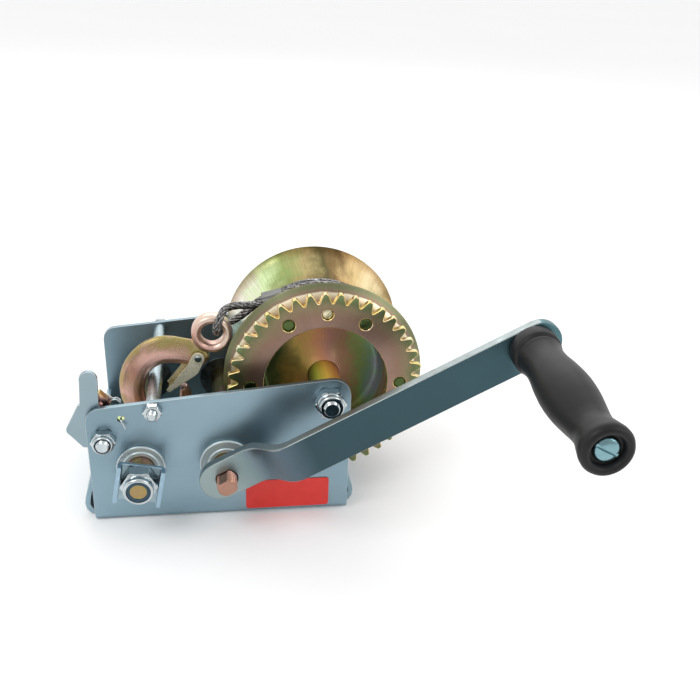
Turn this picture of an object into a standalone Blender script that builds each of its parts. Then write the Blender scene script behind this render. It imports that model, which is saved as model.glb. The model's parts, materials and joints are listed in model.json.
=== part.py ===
"""Two-speed boat trailer winch: a geared drum with wire cable and hook, cranked by hand.

The frame is one bent sheet. +X points to the drum end, -Y to the crank side and +Z up. The
origin is the centre of the base's underside. Every driving size below is in millimetres.
"""
import math

import bmesh
import bpy
from mathutils import Matrix, Vector

MM = 0.001
GAP = 0.3                                   # space between pieces that touch
RUNNING = 0.1                               # added to the radius of a bore that turns on its shaft
FINE = 32                                   # sides of a large round piece
COARSE = 16                                 # sides of a small round piece

# Frame: one sheet bent into a channel, with a curled lip at each end of its base
FRAME_LENGTH = 155.0
FRAME_WIDTH = 117.0
SHEET = 3.0
PLATE_HEIGHT_LOW = 78.0                     # at the pawl end
PLATE_HEIGHT_HIGH = 92.0                    # at the drum end
BEND_RADIUS = 4.0
LIP_INSET = 7.0                             # lips stop this far inside the side plates
LIP_LOW = 13.0                              # height of the drum-end lip under the drum
BASE_HOLE_RADIUS = 5.3

NEAR = -FRAME_WIDTH / 2                     # outer face of the crank-side plate
FAR = FRAME_WIDTH / 2
NEAR_IN = NEAR + SHEET
FAR_IN = FAR - SHEET
LEFT = -FRAME_LENGTH / 2
RIGHT = FRAME_LENGTH / 2

# Gears
DRUM_MODULE, DRUM_TEETH, PINION_TEETH = 2.85, 40, 12
LOW_MODULE, LOW_GEAR_TEETH, LOW_PINION_TEETH = 2.52, 24, 16
RATCHET_TEETH = 12
RATCHET_START = 82.5                        # angle of a tooth's root, in degrees
PAWL_LIFT = 14.0                            # degrees from engaged to free, which is the rest position

# Axes, all parallel to Y: x and z
CRANK_AXIS = (2.5, 38.0)
LOW_AXIS = (CRANK_AXIS[0] - LOW_MODULE * (LOW_GEAR_TEETH + LOW_PINION_TEETH) / 2, 38.0)
DRUM_X = 64.7
DRUM_CENTRES = DRUM_MODULE * (DRUM_TEETH + PINION_TEETH) / 2
DRUM_RISE = math.sqrt(DRUM_CENTRES ** 2 - (DRUM_X - CRANK_AXIS[0]) ** 2)
DRUM_AXIS = (DRUM_X, CRANK_AXIS[1] + DRUM_RISE)
PAWL_AXIS = (-68.0, 57.5)
TIE_AXIS = (-39.0, 76.0)
SPRING_HOLE = (-57.3, 70.7)
MESH_ANGLE = math.degrees(math.atan2(DRUM_RISE, DRUM_X - CRANK_AXIS[0]))

# Places along Y of what turns inside the crank-side gap
LEVER_Y = (NEAR_IN + 0.6, NEAR_IN + 3.4)
RATCHET_Y = (NEAR + 7.0, NEAR + 13.0)
LOW_GEAR_Y = (NEAR + 13.6, NEAR + 19.4)
DRUM_GEAR_Y = (NEAR + 20.0, NEAR + 24.2)

# Shafts
SHAFT_RADIUS = 8.0
THREAD_RADIUS = 6.0
NUT_TURN = -0.03                            # a nut's turn about its bolt, in radians
SEAT_DEPTH = 0.22                           # of a nut's nylon ring, as a share of the nut's height
SEAT_RADIUS = 0.42                          # of the same ring, as a share of the nut's width
FLAT_HALF = 4.6                             # half the distance across the shaft's two flats
CRANK_STUB_END = NEAR - 28.5
LOW_STUB_END = NEAR - 27.6
STACK_FACE = NEAR - 12.0                    # shoulder that the crank and bracket sit against
BRACKET_TILT = -11.0                        # turn of the lower shaft's flats and bracket

# Crank arm
CRANK_ANGLE = 27.9
CRANK_REACH = 192.5
PAST_GRIP = 5.0                             # from the grip to the centre of the bar's round end
BAR_WIDTH, BAR_THICK = 25.0, 6.0
BAR_OUT_FACE = NEAR - 37.0
BEND_START, BEND_END = 19.0, 41.0           # joggle, measured along the arm from the shaft
GRIP_START, GRIP_END = NEAR - 37.4, NEAR - 148.0

# Drum: y measured from the crank-side face, and radius
GEAR_BORE = 38.2
AXLE_RADIUS = 9.7                           # tube that the drum turns on
RIVET_CIRCLE = 46.3
NEAR_HALF_PATH = [(33.0, 62.3), (27.6, 54.0), (24.6, 50.0), (24.6, 40.4), (26.2, 38.3), (44.6, 37.4),
                  (45.2, 33.0), (34.4, 10.5)]
FAR_HALF_PATH = [(49.6, 10.5), (49.6, 37.6), (50.6, 39.6), (66.0, 41.3), (80.0, 44.6), (92.0, 49.4),
                 (101.0, 54.4), (107.4, 58.7)]
PACK_PROFILE = [(32.2, 41.6), (32.2, 49.3), (54.0, 49.3), (55.0, 54.0), (66.5, 54.0), (68.0, 49.6),
                (80.0, 49.6), (80.0, 45.6), (66.0, 42.3), (56.0, 41.6)]
CABLE_RADIUS = 2.4
FERRULE_AT = (34.0, NEAR + 46.9, 125.0)
FERRULE_SPREAD, FERRULE_LENGTH = 3.0, 13.0

# Hook, in its own plane
HOOK_Y = (NEAR + 36.6, NEAR + 46.4)
HOOK_EYE = (-3.6, 106.0)
HOOK_EYE_RADIUS, HOOK_HOLE_RADIUS = 12.6, 7.2
LATCH_PIVOT = (-12.5, 91.4)
LATCH_LENGTH = 29.0
LATCH_ANGLE = 48.0                          # of the latch below the horizontal
LATCH_SHEET = 1.2


# ---------------------------------------------------------------- helpers

def place(x, y, z):
    return Vector((x * MM, y * MM, z * MM))


def material(name, colour, metallic, roughness):
    found = bpy.data.materials.get(name)
    if found:
        return found
    made = bpy.data.materials.new(name)
    made.use_nodes = True
    shader = made.node_tree.nodes["Principled BSDF"]
    shader.inputs["Base Color"].default_value = (*colour, 1.0)
    shader.inputs["Metallic"].default_value = metallic
    shader.inputs["Roughness"].default_value = roughness
    made.diffuse_color = (*colour, 1.0)
    return made


FINISHES = {
    "zinc": ((0.55, 0.64, 0.68), 1.0, 0.34),
    "bright": ((0.78, 0.80, 0.82), 1.0, 0.22),
    "chromate": ((0.72, 0.58, 0.30), 1.0, 0.30),
    "forged": ((0.66, 0.45, 0.33), 1.0, 0.36),
    "dark_steel": ((0.10, 0.12, 0.13), 1.0, 0.45),
    "cable": ((0.55, 0.56, 0.57), 1.0, 0.40),
    "nylon": ((0.03, 0.16, 0.30), 0.0, 0.45),
    "black_grip": ((0.015, 0.015, 0.016), 0.0, 0.55),
    "label": ((0.80, 0.05, 0.03), 0.0, 0.40),
}


def finish(obj, slot, pivot=None):
    """Give an object its material, a right-way-out mesh and an origin on its joint's axis."""
    colour, metallic, roughness = FINISHES[slot]
    obj.data.materials.clear()
    obj.data.materials.append(material(slot, colour, metallic, roughness))
    if pivot:
        centre = place(pivot[0], 0, pivot[1])
        obj.data.transform(Matrix.Translation(-centre))
        obj.location = centre
    obj.data.set_sharp_from_angle(angle=math.radians(35))
    return obj


def mesh_object(name, build):
    """Make an object from a function that fills a bmesh."""
    bm = bmesh.new()
    build(bm)
    bmesh.ops.recalc_face_normals(bm, faces=bm.faces)
    mesh = bpy.data.meshes.new(name)
    bm.to_mesh(mesh)
    bm.free()
    mesh.shade_smooth()
    obj = bpy.data.objects.new(name, mesh)
    bpy.context.scene.collection.objects.link(obj)
    return obj


def boolean(obj, other, operation):
    """Apply an exact Boolean and remove the other object."""
    mod = obj.modifiers.new("cut", "BOOLEAN")
    mod.operation = operation
    mod.solver = "EXACT"
    mod.object = other
    bpy.context.view_layer.update()
    graph = bpy.context.evaluated_depsgraph_get()
    result = bpy.data.meshes.new_from_object(obj.evaluated_get(graph))
    obj.modifiers.clear()
    obj.data = result
    bpy.data.objects.remove(other)
    tidy = bmesh.new()
    tidy.from_mesh(result)
    bmesh.ops.remove_doubles(tidy, verts=tidy.verts, dist=1e-6)
    bmesh.ops.dissolve_degenerate(tidy, edges=tidy.edges, dist=1e-6)
    bmesh.ops.triangulate(tidy, faces=tidy.faces)
    tidy.to_mesh(result)
    tidy.free()
    return obj


def cut(obj, *cutters):
    for cutter in cutters:
        boolean(obj, cutter, "DIFFERENCE")
    return obj


def join(obj, *others):
    for other in others:
        boolean(obj, other, "UNION")
    return obj


def circle(centre, radius, count, start=0.0):
    step = 2 * math.pi / count
    angles = [start + i * step for i in range(count)]
    return [(centre[0] + radius * math.cos(a), centre[1] + radius * math.sin(a)) for a in angles]


def arc(centre, radius, first, last, count):
    """Points on an arc from one angle to another, in degrees."""
    turn = [math.radians(first + (last - first) * i / (count - 1)) for i in range(count)]
    return [(centre[0] + radius * math.cos(a), centre[1] + radius * math.sin(a)) for a in turn]


def rotate(points, centre, degrees):
    c, s = math.cos(math.radians(degrees)), math.sin(math.radians(degrees))
    moved = []
    for x, z in points:
        dx, dz = x - centre[0], z - centre[1]
        moved.append((centre[0] + c * dx - s * dz, centre[1] + s * dx + c * dz))
    return moved


def plate(name, outline, y0, y1, hole=None):
    """A flat plate across Y; the hole, if any, has as many points as the outline."""
    def build(bm):
        rings = []
        for loop in [outline] + ([hole] if hole else []):
            rings.append([[bm.verts.new(place(x, y, z)) for x, z in loop] for y in (y0, y1)])
        for low, high in rings:
            for i in range(len(low)):
                j = (i + 1) % len(low)
                bm.faces.new((low[i], low[j], high[j], high[i]))
        if not hole:
            bm.faces.new(rings[0][0])
            bm.faces.new(rings[0][1])
            return
        for outer, inner in zip(rings[0], rings[1]):
            for i in range(len(outer)):
                j = (i + 1) % len(outer)
                bm.faces.new((outer[i], outer[j], inner[j], inner[i]))
    return mesh_object(name, build)


def turned(name, profile, axis, sides=COARSE):
    """A closed ring about a Y axis, from (y, radius) points; radius 0 is on the axis."""
    def build(bm):
        rings = []
        for y, radius in profile:
            if radius < 1e-6:
                rings.append([bm.verts.new(place(axis[0], y, axis[1]))])
            else:
                rings.append([bm.verts.new(place(x, y, z)) for x, z in circle(axis, radius, sides)])
        for k, ring in enumerate(rings):
            after = rings[(k + 1) % len(rings)]
            if len(ring) == 1 and len(after) == 1:
                continue
            for i in range(sides):
                j = (i + 1) % sides
                corners = [ring[i % len(ring)], ring[j % len(ring)]]
                corners += [after[j % len(after)], after[i % len(after)]]
                bm.faces.new(list(dict.fromkeys(corners)))
    return mesh_object(name, build)


def rod(name, axis, y0, y1, radius, sides=COARSE):
    return turned(name, [(y0, 0), (y0, radius), (y1, radius), (y1, 0)], axis, sides)


def tube(name, axis, y0, y1, inner, outer, sides=COARSE):
    return turned(name, [(y0, inner), (y0, outer), (y1, outer), (y1, inner)], axis, sides)


def thicken(path, thickness):
    """Close a (y, radius) path into a sheet's profile, with the sheet on its +Y and outer side."""
    offset = []
    for i, point in enumerate(path):
        before, after = Vector(path[max(i - 1, 0)]), Vector(path[min(i + 1, len(path) - 1)])
        along = (after - before).normalized()
        offset.append((point[0] - along.y * thickness, point[1] + along.x * thickness))
    return path + offset[::-1]


def hexagon(axis, across_flats, start=0.0):
    return circle(axis, across_flats / math.sqrt(3), 6, start)


def hex_nut(name, axis, y_plate, across, height, bore, collar):
    """A nut on the crank side; a lock nut has a round collar that holds a nylon ring."""
    y_hex = y_plate - height * 0.68
    y_end = y_plate - height
    nut = plate(name, hexagon(axis, across, NUT_TURN), y_hex, y_plate)
    if collar:
        join(nut, rod("collar", axis, y_end, y_hex + 1.0, across * 0.475, COARSE))
        cut(nut, rod("seat", axis, y_end - 1, y_end + height * SEAT_DEPTH, across * SEAT_RADIUS, COARSE))
    cut(nut, rod("bore", axis, y_end - 1, y_plate + 1, bore, COARSE))
    return finish(nut, "bright")


def gear_outline(axis, module, teeth, first_tooth):
    """Spur gear outline with straight-sided teeth; first_tooth is a tooth's angle in degrees."""
    pitch_radius = module * teeth / 2
    pitch = 2 * math.pi / teeth
    levels = [(pitch_radius - 1.25 * module, 0.72), (pitch_radius + 0.97 * module, 0.17)]
    points = []
    for k in range(teeth):
        middle = math.radians(first_tooth) + k * pitch
        flanks = [(r, -share * pitch / 2) for r, share in levels]
        flanks += [(r, share * pitch / 2) for r, share in levels[::-1]]
        for radius, turn in flanks:
            a = middle + turn
            points.append((axis[0] + radius * math.cos(a), axis[1] + radius * math.sin(a)))
    return points


def gear(name, axis, module, teeth, first_tooth, span, bore):
    outline = gear_outline(axis, module, teeth, first_tooth)
    start = math.radians(first_tooth) - math.pi / teeth * 0.72
    hole = circle(axis, bore, len(outline), start)
    return finish(plate(name, outline, span[0], span[1], hole), "chromate", axis)


# ---------------------------------------------------------------- frame

def plate_outline():
    """Side plate in X and Z: taller at the drum end, with round top corners."""
    left_top = arc((LEFT + 9, PLATE_HEIGHT_LOW - 9), 9, 180, 94, 6)
    right_top = arc((RIGHT - 11, PLATE_HEIGHT_HIGH - 11), 11, 96, 0, 7)
    return [(LEFT, 0)] + left_top + right_top + [(RIGHT, 0)]


def lip(name, side):
    """Curled end of the base: it bulges past the plates, then leans back to their edges."""
    edge = LEFT if side < 0 else RIGHT
    bulge, top = (6.2, 33.0) if side < 0 else (4.6, 25.0)
    outer = [(-12.0, 0.0), (0.0, 0.0), (bulge - 2.4, 1.4), (bulge - 0.5, 4.6), (bulge, 8.0),
             (bulge - 0.5, 12.0), (0.0, top)]
    hollow = bulge - SHEET
    inner = [(-SHEET, top), (hollow - 0.5, 11.4), (hollow - 0.1, 7.4), (hollow - 1.4, 4.4),
             (-1.0, SHEET), (-12.0, SHEET)]
    outline = [(edge + side * dx, z) for dx, z in outer + inner]
    return plate(name, outline, NEAR + LIP_INSET, FAR - LIP_INSET)


def channel_outline():
    """Cross-section of the bent sheet, in Y and Z."""
    outer = [(NEAR, 200)] + arc((NEAR + BEND_RADIUS, BEND_RADIUS), BEND_RADIUS, 180, 270, 5)
    outer += arc((FAR - BEND_RADIUS, BEND_RADIUS), BEND_RADIUS, 270, 360, 5) + [(FAR, 200)]
    small = BEND_RADIUS - SHEET
    inner = [(FAR_IN, 200)] + arc((FAR - BEND_RADIUS, BEND_RADIUS), small, 360, 270, 4)
    inner += arc((NEAR + BEND_RADIUS, BEND_RADIUS), small, 270, 180, 4) + [(NEAR_IN, 200)]
    return outer + inner


def make_frame():
    def build(bm):
        ends = [[bm.verts.new(place(x, y, z)) for y, z in channel_outline()] for x in (LEFT - 1, RIGHT + 1)]
        count = len(ends[0])
        for i in range(count):
            j = (i + 1) % count
            bm.faces.new((ends[0][i], ends[0][j], ends[1][j], ends[1][i]))
        bm.faces.new(ends[0])
        bm.faces.new(ends[1])
    frame = mesh_object("frame", build)
    boolean(frame, plate("trim", plate_outline(), NEAR - 5, FAR + 5), "INTERSECT")
    join(frame, lip("lip_a", -1), lip("lip_b", 1))
    # The drum dips below the top of its lip, which is cut away there
    notch = [(RIGHT - 6, LIP_LOW), (RIGHT + 10, LIP_LOW), (RIGHT + 10, 40), (RIGHT - 6, 40)]
    cut(frame, plate("notch", notch, NEAR + 18, FAR_IN - 2))
    for axis, radius in ((CRANK_AXIS, 10.3), (LOW_AXIS, 10.3), (DRUM_AXIS, 5.4), (TIE_AXIS, 3.4)):
        cut(frame, rod("bore", axis, NEAR - 5, FAR + 5, radius))
    cut(frame, rod("bore", PAWL_AXIS, NEAR - 5, NEAR + 5, 4.4))
    cut(frame, rod("bore", SPRING_HOLE, NEAR - 5, NEAR + 5, 2.2, 12))
    for x, y in ((-58.0, 0.0), (30.0, -26.0), (30.0, 26.0)):
        hole = rod("base_hole", (0.0, 0.0), -6, 6, BASE_HOLE_RADIUS)
        hole.data.transform(Matrix.Rotation(math.pi / 2, 4, "X"))
        hole.location = place(x, y, 1.5)
        cut(frame, hole)
    return finish(frame, "zinc")


def make_bushings():
    """Flanged plain bearings: flange outside the near plate, inside the far plate."""
    for name, axis, flange in (("crank", CRANK_AXIS, 16.0), ("low", LOW_AXIS, 14.5)):
        inner = SHAFT_RADIUS + 0.05
        near = [(NEAR_IN + 0.3, inner), (NEAR - 2.3, inner), (NEAR - 2.3, flange), (NEAR - GAP, flange),
                (NEAR - GAP, 10.0), (NEAR_IN + 0.3, 10.0)]
        finish(turned(f"{name}_bushing_near", near, axis, FINE), "zinc")
        far = [(FAR + 0.3, inner), (FAR_IN - 2.6, inner), (FAR_IN - 2.6, flange), (FAR_IN - GAP, flange),
               (FAR_IN - GAP, 10.0), (FAR + 0.3, 10.0)]
        finish(turned(f"{name}_bushing_far", far, axis, FINE), "dark_steel")


# ---------------------------------------------------------------- shafts and gears

def shaft(name, axis, stub_end, flat_angle):
    """Round shaft with a threaded stub that has two flats, and a groove ring outside the far plate."""
    body = turned(name, [(stub_end, 0), (stub_end, THREAD_RADIUS - 1.2), (stub_end + 1.4, THREAD_RADIUS),
                         (STACK_FACE, THREAD_RADIUS), (STACK_FACE, SHAFT_RADIUS), (FAR + 5.2, SHAFT_RADIUS),
                         (FAR + 5.2, 0)], axis)
    for side in (-1, 1):
        flat = [(axis[0] - 20, axis[1] + side * FLAT_HALF), (axis[0] + 20, axis[1] + side * FLAT_HALF),
                (axis[0] + 20, axis[1] + side * 20), (axis[0] - 20, axis[1] + side * 20)]
        cut(body, plate("flat", rotate(flat, axis, flat_angle), stub_end - 1, STACK_FACE))
    return finish(body, "chromate", axis)


def make_shafts():
    shaft("crank_shaft", CRANK_AXIS, CRANK_STUB_END, CRANK_ANGLE)
    shaft("low_speed_shaft", LOW_AXIS, LOW_STUB_END, BRACKET_TILT)
    for name, axis in (("crank", CRANK_AXIS), ("low_speed", LOW_AXIS)):
        # The circlip stands in a groove that is drawn as a plain ring round the shaft's end
        ring = tube(f"{name}_circlip", axis, FAR + 1.2, FAR + 2.6, SHAFT_RADIUS + 0.3, 11.0)
        finish(ring, "dark_steel", axis)
    bore = SHAFT_RADIUS + GAP
    pinion_y = (DRUM_GEAR_Y[0] - 0.3, DRUM_GEAR_Y[1] + 0.4)
    gear("drum_pinion", CRANK_AXIS, DRUM_MODULE, PINION_TEETH, MESH_ANGLE, pinion_y, bore)
    gear("low_speed_gear", CRANK_AXIS, LOW_MODULE, LOW_GEAR_TEETH, 180.0, LOW_GEAR_Y, bore)
    half_tooth = 180.0 / LOW_PINION_TEETH
    gear("low_speed_pinion", LOW_AXIS, LOW_MODULE, LOW_PINION_TEETH, half_tooth, LOW_GEAR_Y, bore)
    for name, axis, start in (("crank_collar", CRANK_AXIS, DRUM_GEAR_Y[1] + 0.8),
                              ("low_speed_collar", LOW_AXIS, LOW_GEAR_Y[1] + 0.4)):
        finish(tube(name, axis, start, start + 7.0, bore, bore + 3.2), "chromate", axis)


def make_ratchet():
    """Ratchet wheel with one steep and one sloping side to each tooth."""
    points = []
    step = 360 / RATCHET_TEETH
    for k in range(RATCHET_TEETH):
        start = RATCHET_START + k * step
        for radius, turn in ((15.6, 0.0), (17.8, 12.0), (20.0, 24.0), (20.0, 28.0)):
            a = math.radians(start + turn)
            points.append((LOW_AXIS[0] + radius * math.cos(a), LOW_AXIS[1] + radius * math.sin(a)))
    hole = circle(LOW_AXIS, SHAFT_RADIUS + GAP, len(points), math.radians(RATCHET_START))
    finish(plate("ratchet_wheel", points, RATCHET_Y[0], RATCHET_Y[1], hole), "chromate", LOW_AXIS)


# ---------------------------------------------------------------- pawl group

def make_pawl():
    px, pz = PAWL_AXIS
    engaged = [(px + 5.0, pz + 7.5), (px + 15.0, pz + 5.5), (px + 22.3, pz + 1.9), (px + 21.7, pz - 3.2),
               (px + 17.8, pz - 0.7), (px + 11.0, pz + 0.5), (px + 4.0, pz - 5.6)]
    nose = rotate(engaged, PAWL_AXIS, PAWL_LIFT)
    lug = [(px + 3.4, pz + 22.0), (px - 1.0, pz + 27.0), (px - 4.0, pz + 24.0)]
    outline = nose + arc(PAWL_AXIS, 7.4, -60, -170, 6) + lug[::-1] + [(px + 5.4, pz + 12.0)]
    pawl = plate("pawl", outline, RATCHET_Y[0] + 0.2, RATCHET_Y[1] - 0.2)
    cut(pawl, rod("bore", PAWL_AXIS, RATCHET_Y[0] - 3, RATCHET_Y[1] + 3, 4.0 + 1.2 * RUNNING))
    cut(pawl, rod("bore", (px - 0.6, pz + 20.0), RATCHET_Y[0] - 3, RATCHET_Y[1] + 3, 1.3, 8))
    finish(pawl, "chromate", PAWL_AXIS)

    body = [(px + 6.0, pz - 6.0), (px + 8.0, pz + 3.0), (px - 1.0, pz + 20.0), (px - 13.0, pz + 21.5)]
    tail = arc((px - 17.4, pz + 4.9), 3.8, 145, 235, 6)
    low_edge = [(px - 12.6, pz - 7.0), (px, pz - 8.6)]
    lever = plate("pawl_lever", body + tail + low_edge, LEVER_Y[0], LEVER_Y[1])
    # The thumb tab stands up from the plate, with a round top
    tab = plate("tab", [(px - 12.4, pz + 17.0), (px - 1.6, pz + 17.0)] +
                arc((px - 6.0, pz + 37.4), 5.2, -12, 192, 10), LEVER_Y[0], LEVER_Y[1])
    join(lever, tab)
    cut(lever, rod("bore", PAWL_AXIS, LEVER_Y[0] - 3, LEVER_Y[1] + 3, 4.0 + 1.2 * RUNNING))
    finish(lever, "zinc", PAWL_AXIS)


def wire(name, points, radius, resolution=2):
    """A round wire along a smooth curve through the given points, as a closed mesh."""
    curve = bpy.data.curves.new(name, "CURVE")
    curve.dimensions = "3D"
    curve.bevel_depth = radius * MM
    curve.bevel_resolution = resolution
    curve.use_fill_caps = True
    spline = curve.splines.new("POLY")
    spline.points.add(len(points) - 1)
    for point, where in zip(spline.points, points):
        point.co = (*place(*where), 1.0)
    obj = bpy.data.objects.new(name, curve)
    bpy.context.scene.collection.objects.link(obj)
    return obj


def smooth_path(points, per_span):
    """Catmull-Rom curve through the points."""
    vectors = [Vector(p) for p in points]
    padded = [2 * vectors[0] - vectors[1]] + vectors + [2 * vectors[-1] - vectors[-2]]
    path = []
    for a, b, c, d in zip(padded, padded[1:], padded[2:], padded[3:]):
        for i in range(per_span):
            t = i / per_span
            path.append(0.5 * ((2 * b) + (c - a) * t + (2 * a - 5 * b + 4 * c - d) * t ** 2 +
                               (3 * b - a - 3 * c + d) * t ** 3))
    return path + [vectors[-1]]


def make_pawl_spring():
    """Over-centre wire: from the side plate's hole, round one coil, to just behind the pawl's lug."""
    hx, hz = SPRING_HOLE
    end = (PAWL_AXIS[0] - 0.6, PAWL_AXIS[1] + 20.0)
    start = [(hx + 2.6, NEAR - 3.4, hz - 4.6), (hx + 0.4, NEAR - 1.0, hz - 0.8), (hx, NEAR + 1.5, hz),
             (hx, NEAR + 11.0, hz)]
    coil = [(hx - 3.4 + 3.2 * math.cos(a), NEAR + 14.6 + 1.2 * a / math.pi, hz + 5.0 + 3.2 * math.sin(a))
            for a in [math.radians(-60 + 45 * i) for i in range(13)]]
    last_leg = [(end[0] + 2.0, NEAR + 18.4, end[1] + 2.0), (end[0], NEAR + 17.0, end[1]),
                (end[0], RATCHET_Y[1] + 0.8, end[1])]
    path = smooth_path(start + coil + last_leg, 2)
    obj = wire("pawl_spring", path, 0.6)
    obj.data.materials.append(material("bright", *FINISHES["bright"]))
    return obj


def make_pawl_bolt():
    head, end = RATCHET_Y[1] + 2.4, NEAR - 9.6
    profile = [(end, 0), (end, 3.2), (end + 0.9, 4.0), (RATCHET_Y[1] + GAP, 4.0), (RATCHET_Y[1] + GAP, 5.2),
               (head, 5.2), (head, 0)]
    finish(turned("pawl_bolt", profile, PAWL_AXIS), "bright")
    hex_nut("pawl_nut", PAWL_AXIS, NEAR - GAP, 13.0, 8.0, 4.3, True)
    nylon_ring("pawl_nut_ring", PAWL_AXIS, NEAR - GAP, 8.0, 13.0, 4.3)


def nylon_ring(name, axis, y_plate, height, across, bore):
    y_end = y_plate - height
    ring = tube(name, axis, y_end + GAP, y_end + height * SEAT_DEPTH - GAP, bore, across * SEAT_RADIUS - GAP)
    finish(ring, "nylon")


def make_tie():
    """Bolt through both plates, inside a tube that holds them apart."""
    bolt = plate("tie_bolt", hexagon(TIE_AXIS, 10.0), FAR + GAP, FAR + 4.3)
    join(bolt, rod("shank", TIE_AXIS, NEAR - 9.0, FAR + 1, 3.0))
    finish(bolt, "bright")
    hex_nut("tie_nut", TIE_AXIS, NEAR - GAP, 10.0, 7.0, 3.3, False)
    finish(tube("spacer_tube", TIE_AXIS, NEAR_IN + GAP, FAR_IN - GAP, 3.4, 4.2), "bright")


# ---------------------------------------------------------------- drum

def make_drum():
    first_tooth = MESH_ANGLE + 180 + 180 / DRUM_TEETH
    gear("drum_gear", DRUM_AXIS, DRUM_MODULE, DRUM_TEETH, first_tooth, DRUM_GEAR_Y, GEAR_BORE)
    near_path = [(NEAR + y, r) for y, r in NEAR_HALF_PATH]
    near_half = turned("drum_near_half", thicken(near_path, 1.8), DRUM_AXIS, FINE)
    far_path = [(NEAR + y, r) for y, r in FAR_HALF_PATH]
    far_half = turned("drum_far_half", thicken(far_path, -1.8), DRUM_AXIS, FINE)
    gear_obj = bpy.data.objects["drum_gear"]
    for k in range(6):
        a = math.radians(60 * k)
        spot = (DRUM_AXIS[0] + RIVET_CIRCLE * math.cos(a), DRUM_AXIS[1] + RIVET_CIRCLE * math.sin(a))
        cut(near_half, rod("bore", spot, DRUM_GEAR_Y[0] - 3, DRUM_GEAR_Y[1] + 6, 2.3, 10))
        drill(gear_obj, spot, 3.8)
        shape = [(DRUM_GEAR_Y[0] + 0.5, 0), (DRUM_GEAR_Y[0] + 0.5, 3.5), (DRUM_GEAR_Y[0] + 2.4, 3.5),
                 (DRUM_GEAR_Y[0] + 2.4, 2.0), (DRUM_GEAR_Y[1] + 3.4, 2.0), (DRUM_GEAR_Y[1] + 3.4, 0)]
        finish(turned(f"gear_rivet_{k + 1}", shape, spot, 12), "chromate")
    anchor = (DRUM_AXIS[0], DRUM_AXIS[1] + RIVET_CIRCLE + 0.5)
    cut(near_half, rod("bore", anchor, DRUM_GEAR_Y[0] - 3, DRUM_GEAR_Y[1] + 6, 2.3, 10))
    drill(gear_obj, anchor, 3.4)
    clamp = [(DRUM_GEAR_Y[0] + 0.6, 0), (DRUM_GEAR_Y[0] + 0.6, 2.9), (DRUM_GEAR_Y[0] + 2.6, 2.9),
             (DRUM_GEAR_Y[0] + 2.6, 1.9), (DRUM_GEAR_Y[1] + 3.6, 1.9), (DRUM_GEAR_Y[1] + 3.6, 0)]
    finish(turned("cable_anchor_screw", clamp, anchor, 12), "chromate")
    finish(near_half, "chromate", DRUM_AXIS)
    finish(far_half, "chromate", DRUM_AXIS)
    hub = tube("drum_hub", DRUM_AXIS, NEAR + 52.0, FAR_IN - 1.0, AXLE_RADIUS + RUNNING, 13.2, FINE)
    finish(hub, "chromate", DRUM_AXIS)
    pack = [(NEAR + y, r) for y, r in PACK_PROFILE]
    finish(turned("cable_pack", pack, DRUM_AXIS, FINE), "cable", DRUM_AXIS)


def drill(gear_obj, spot, radius):
    """Drill a finished gear, whose mesh is held about its own pivot."""
    cut(gear_obj, rod("bore", spot, DRUM_GEAR_Y[0] - 3, DRUM_GEAR_Y[1] + 3, radius, 12))


def make_axle():
    bolt = plate("drum_axle_bolt", hexagon(DRUM_AXIS, 17.0), FAR + GAP, FAR + 6.7)
    join(bolt, rod("shank", DRUM_AXIS, NEAR - 12.4, FAR + 1, 5.0))
    finish(bolt, "bright")
    hex_nut("drum_axle_nut", DRUM_AXIS, NEAR - GAP, 17.0, 10.0, 5.3, True)
    nylon_ring("drum_axle_nut_ring", DRUM_AXIS, NEAR - GAP, 10.0, 17.0, 5.3)
    finish(tube("axle_tube", DRUM_AXIS, NEAR_IN + GAP, FAR_IN - GAP, 5.4, AXLE_RADIUS, FINE), "chromate")


# ---------------------------------------------------------------- cable and hook

def make_cable_lead():
    """The cable from the drum to the hook's eye, round its loop and back through the ferrule."""
    standing = FERRULE_AT[1] - FERRULE_SPREAD
    back = FERRULE_AT[1] + FERRULE_SPREAD
    route = [(57.0, standing, 130.3), (48.0, standing, 129.0), (40.8, standing, 126.7),
             (27.2, standing, 123.3), (19.0, standing + 0.1, 122.2), (11.0, NEAR + 42.6, 122.6),
             (5.0, NEAR + 38.6, 122.4),
             (1.8, NEAR + 33.6, 119.6), (0.2, NEAR + 32.6, 114.6), (-0.6, NEAR + 33.8, 110.4),
             (-0.8, NEAR + 38.0, 107.8), (-0.6, NEAR + 43.0, 107.0), (-0.6, NEAR + 48.4, 107.0),
             (2.4, NEAR + 52.0, 106.8), (8.5, NEAR + 53.2, 107.8), (15.0, NEAR + 52.6, 112.0),
             (21.5, back + 0.6, 118.4), (27.2, back, 123.3), (40.8, back, 126.7), (44.6, back, 127.6)]
    obj = wire("cable_lead", smooth_path(route, 2), CABLE_RADIUS)
    obj.data.materials.append(material("cable", *FINISHES["cable"]))


def make_ferrule():
    """Pressed oval sleeve that holds the loop: two bores side by side."""
    low = arc((-FERRULE_SPREAD, 0), 4.2, 90, 270, 9)
    high = arc((FERRULE_SPREAD, 0), 4.2, -90, 90, 9)
    half = FERRULE_LENGTH / 2
    sleeve = plate("ferrule", low + high, -half, half)
    for side in (-1, 1):
        cut(sleeve, rod("bore", (side * FERRULE_SPREAD, 0), -half - 2, half + 2, 2.75, 16))
    turn = Matrix.Rotation(math.atan2(3.4, 13.6), 4, "Y").inverted() @ Matrix.Rotation(math.pi / 2, 4, "Z")
    sleeve.data.transform(turn)
    sleeve.location = place(*FERRULE_AT)
    finish(sleeve, "bright")


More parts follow.
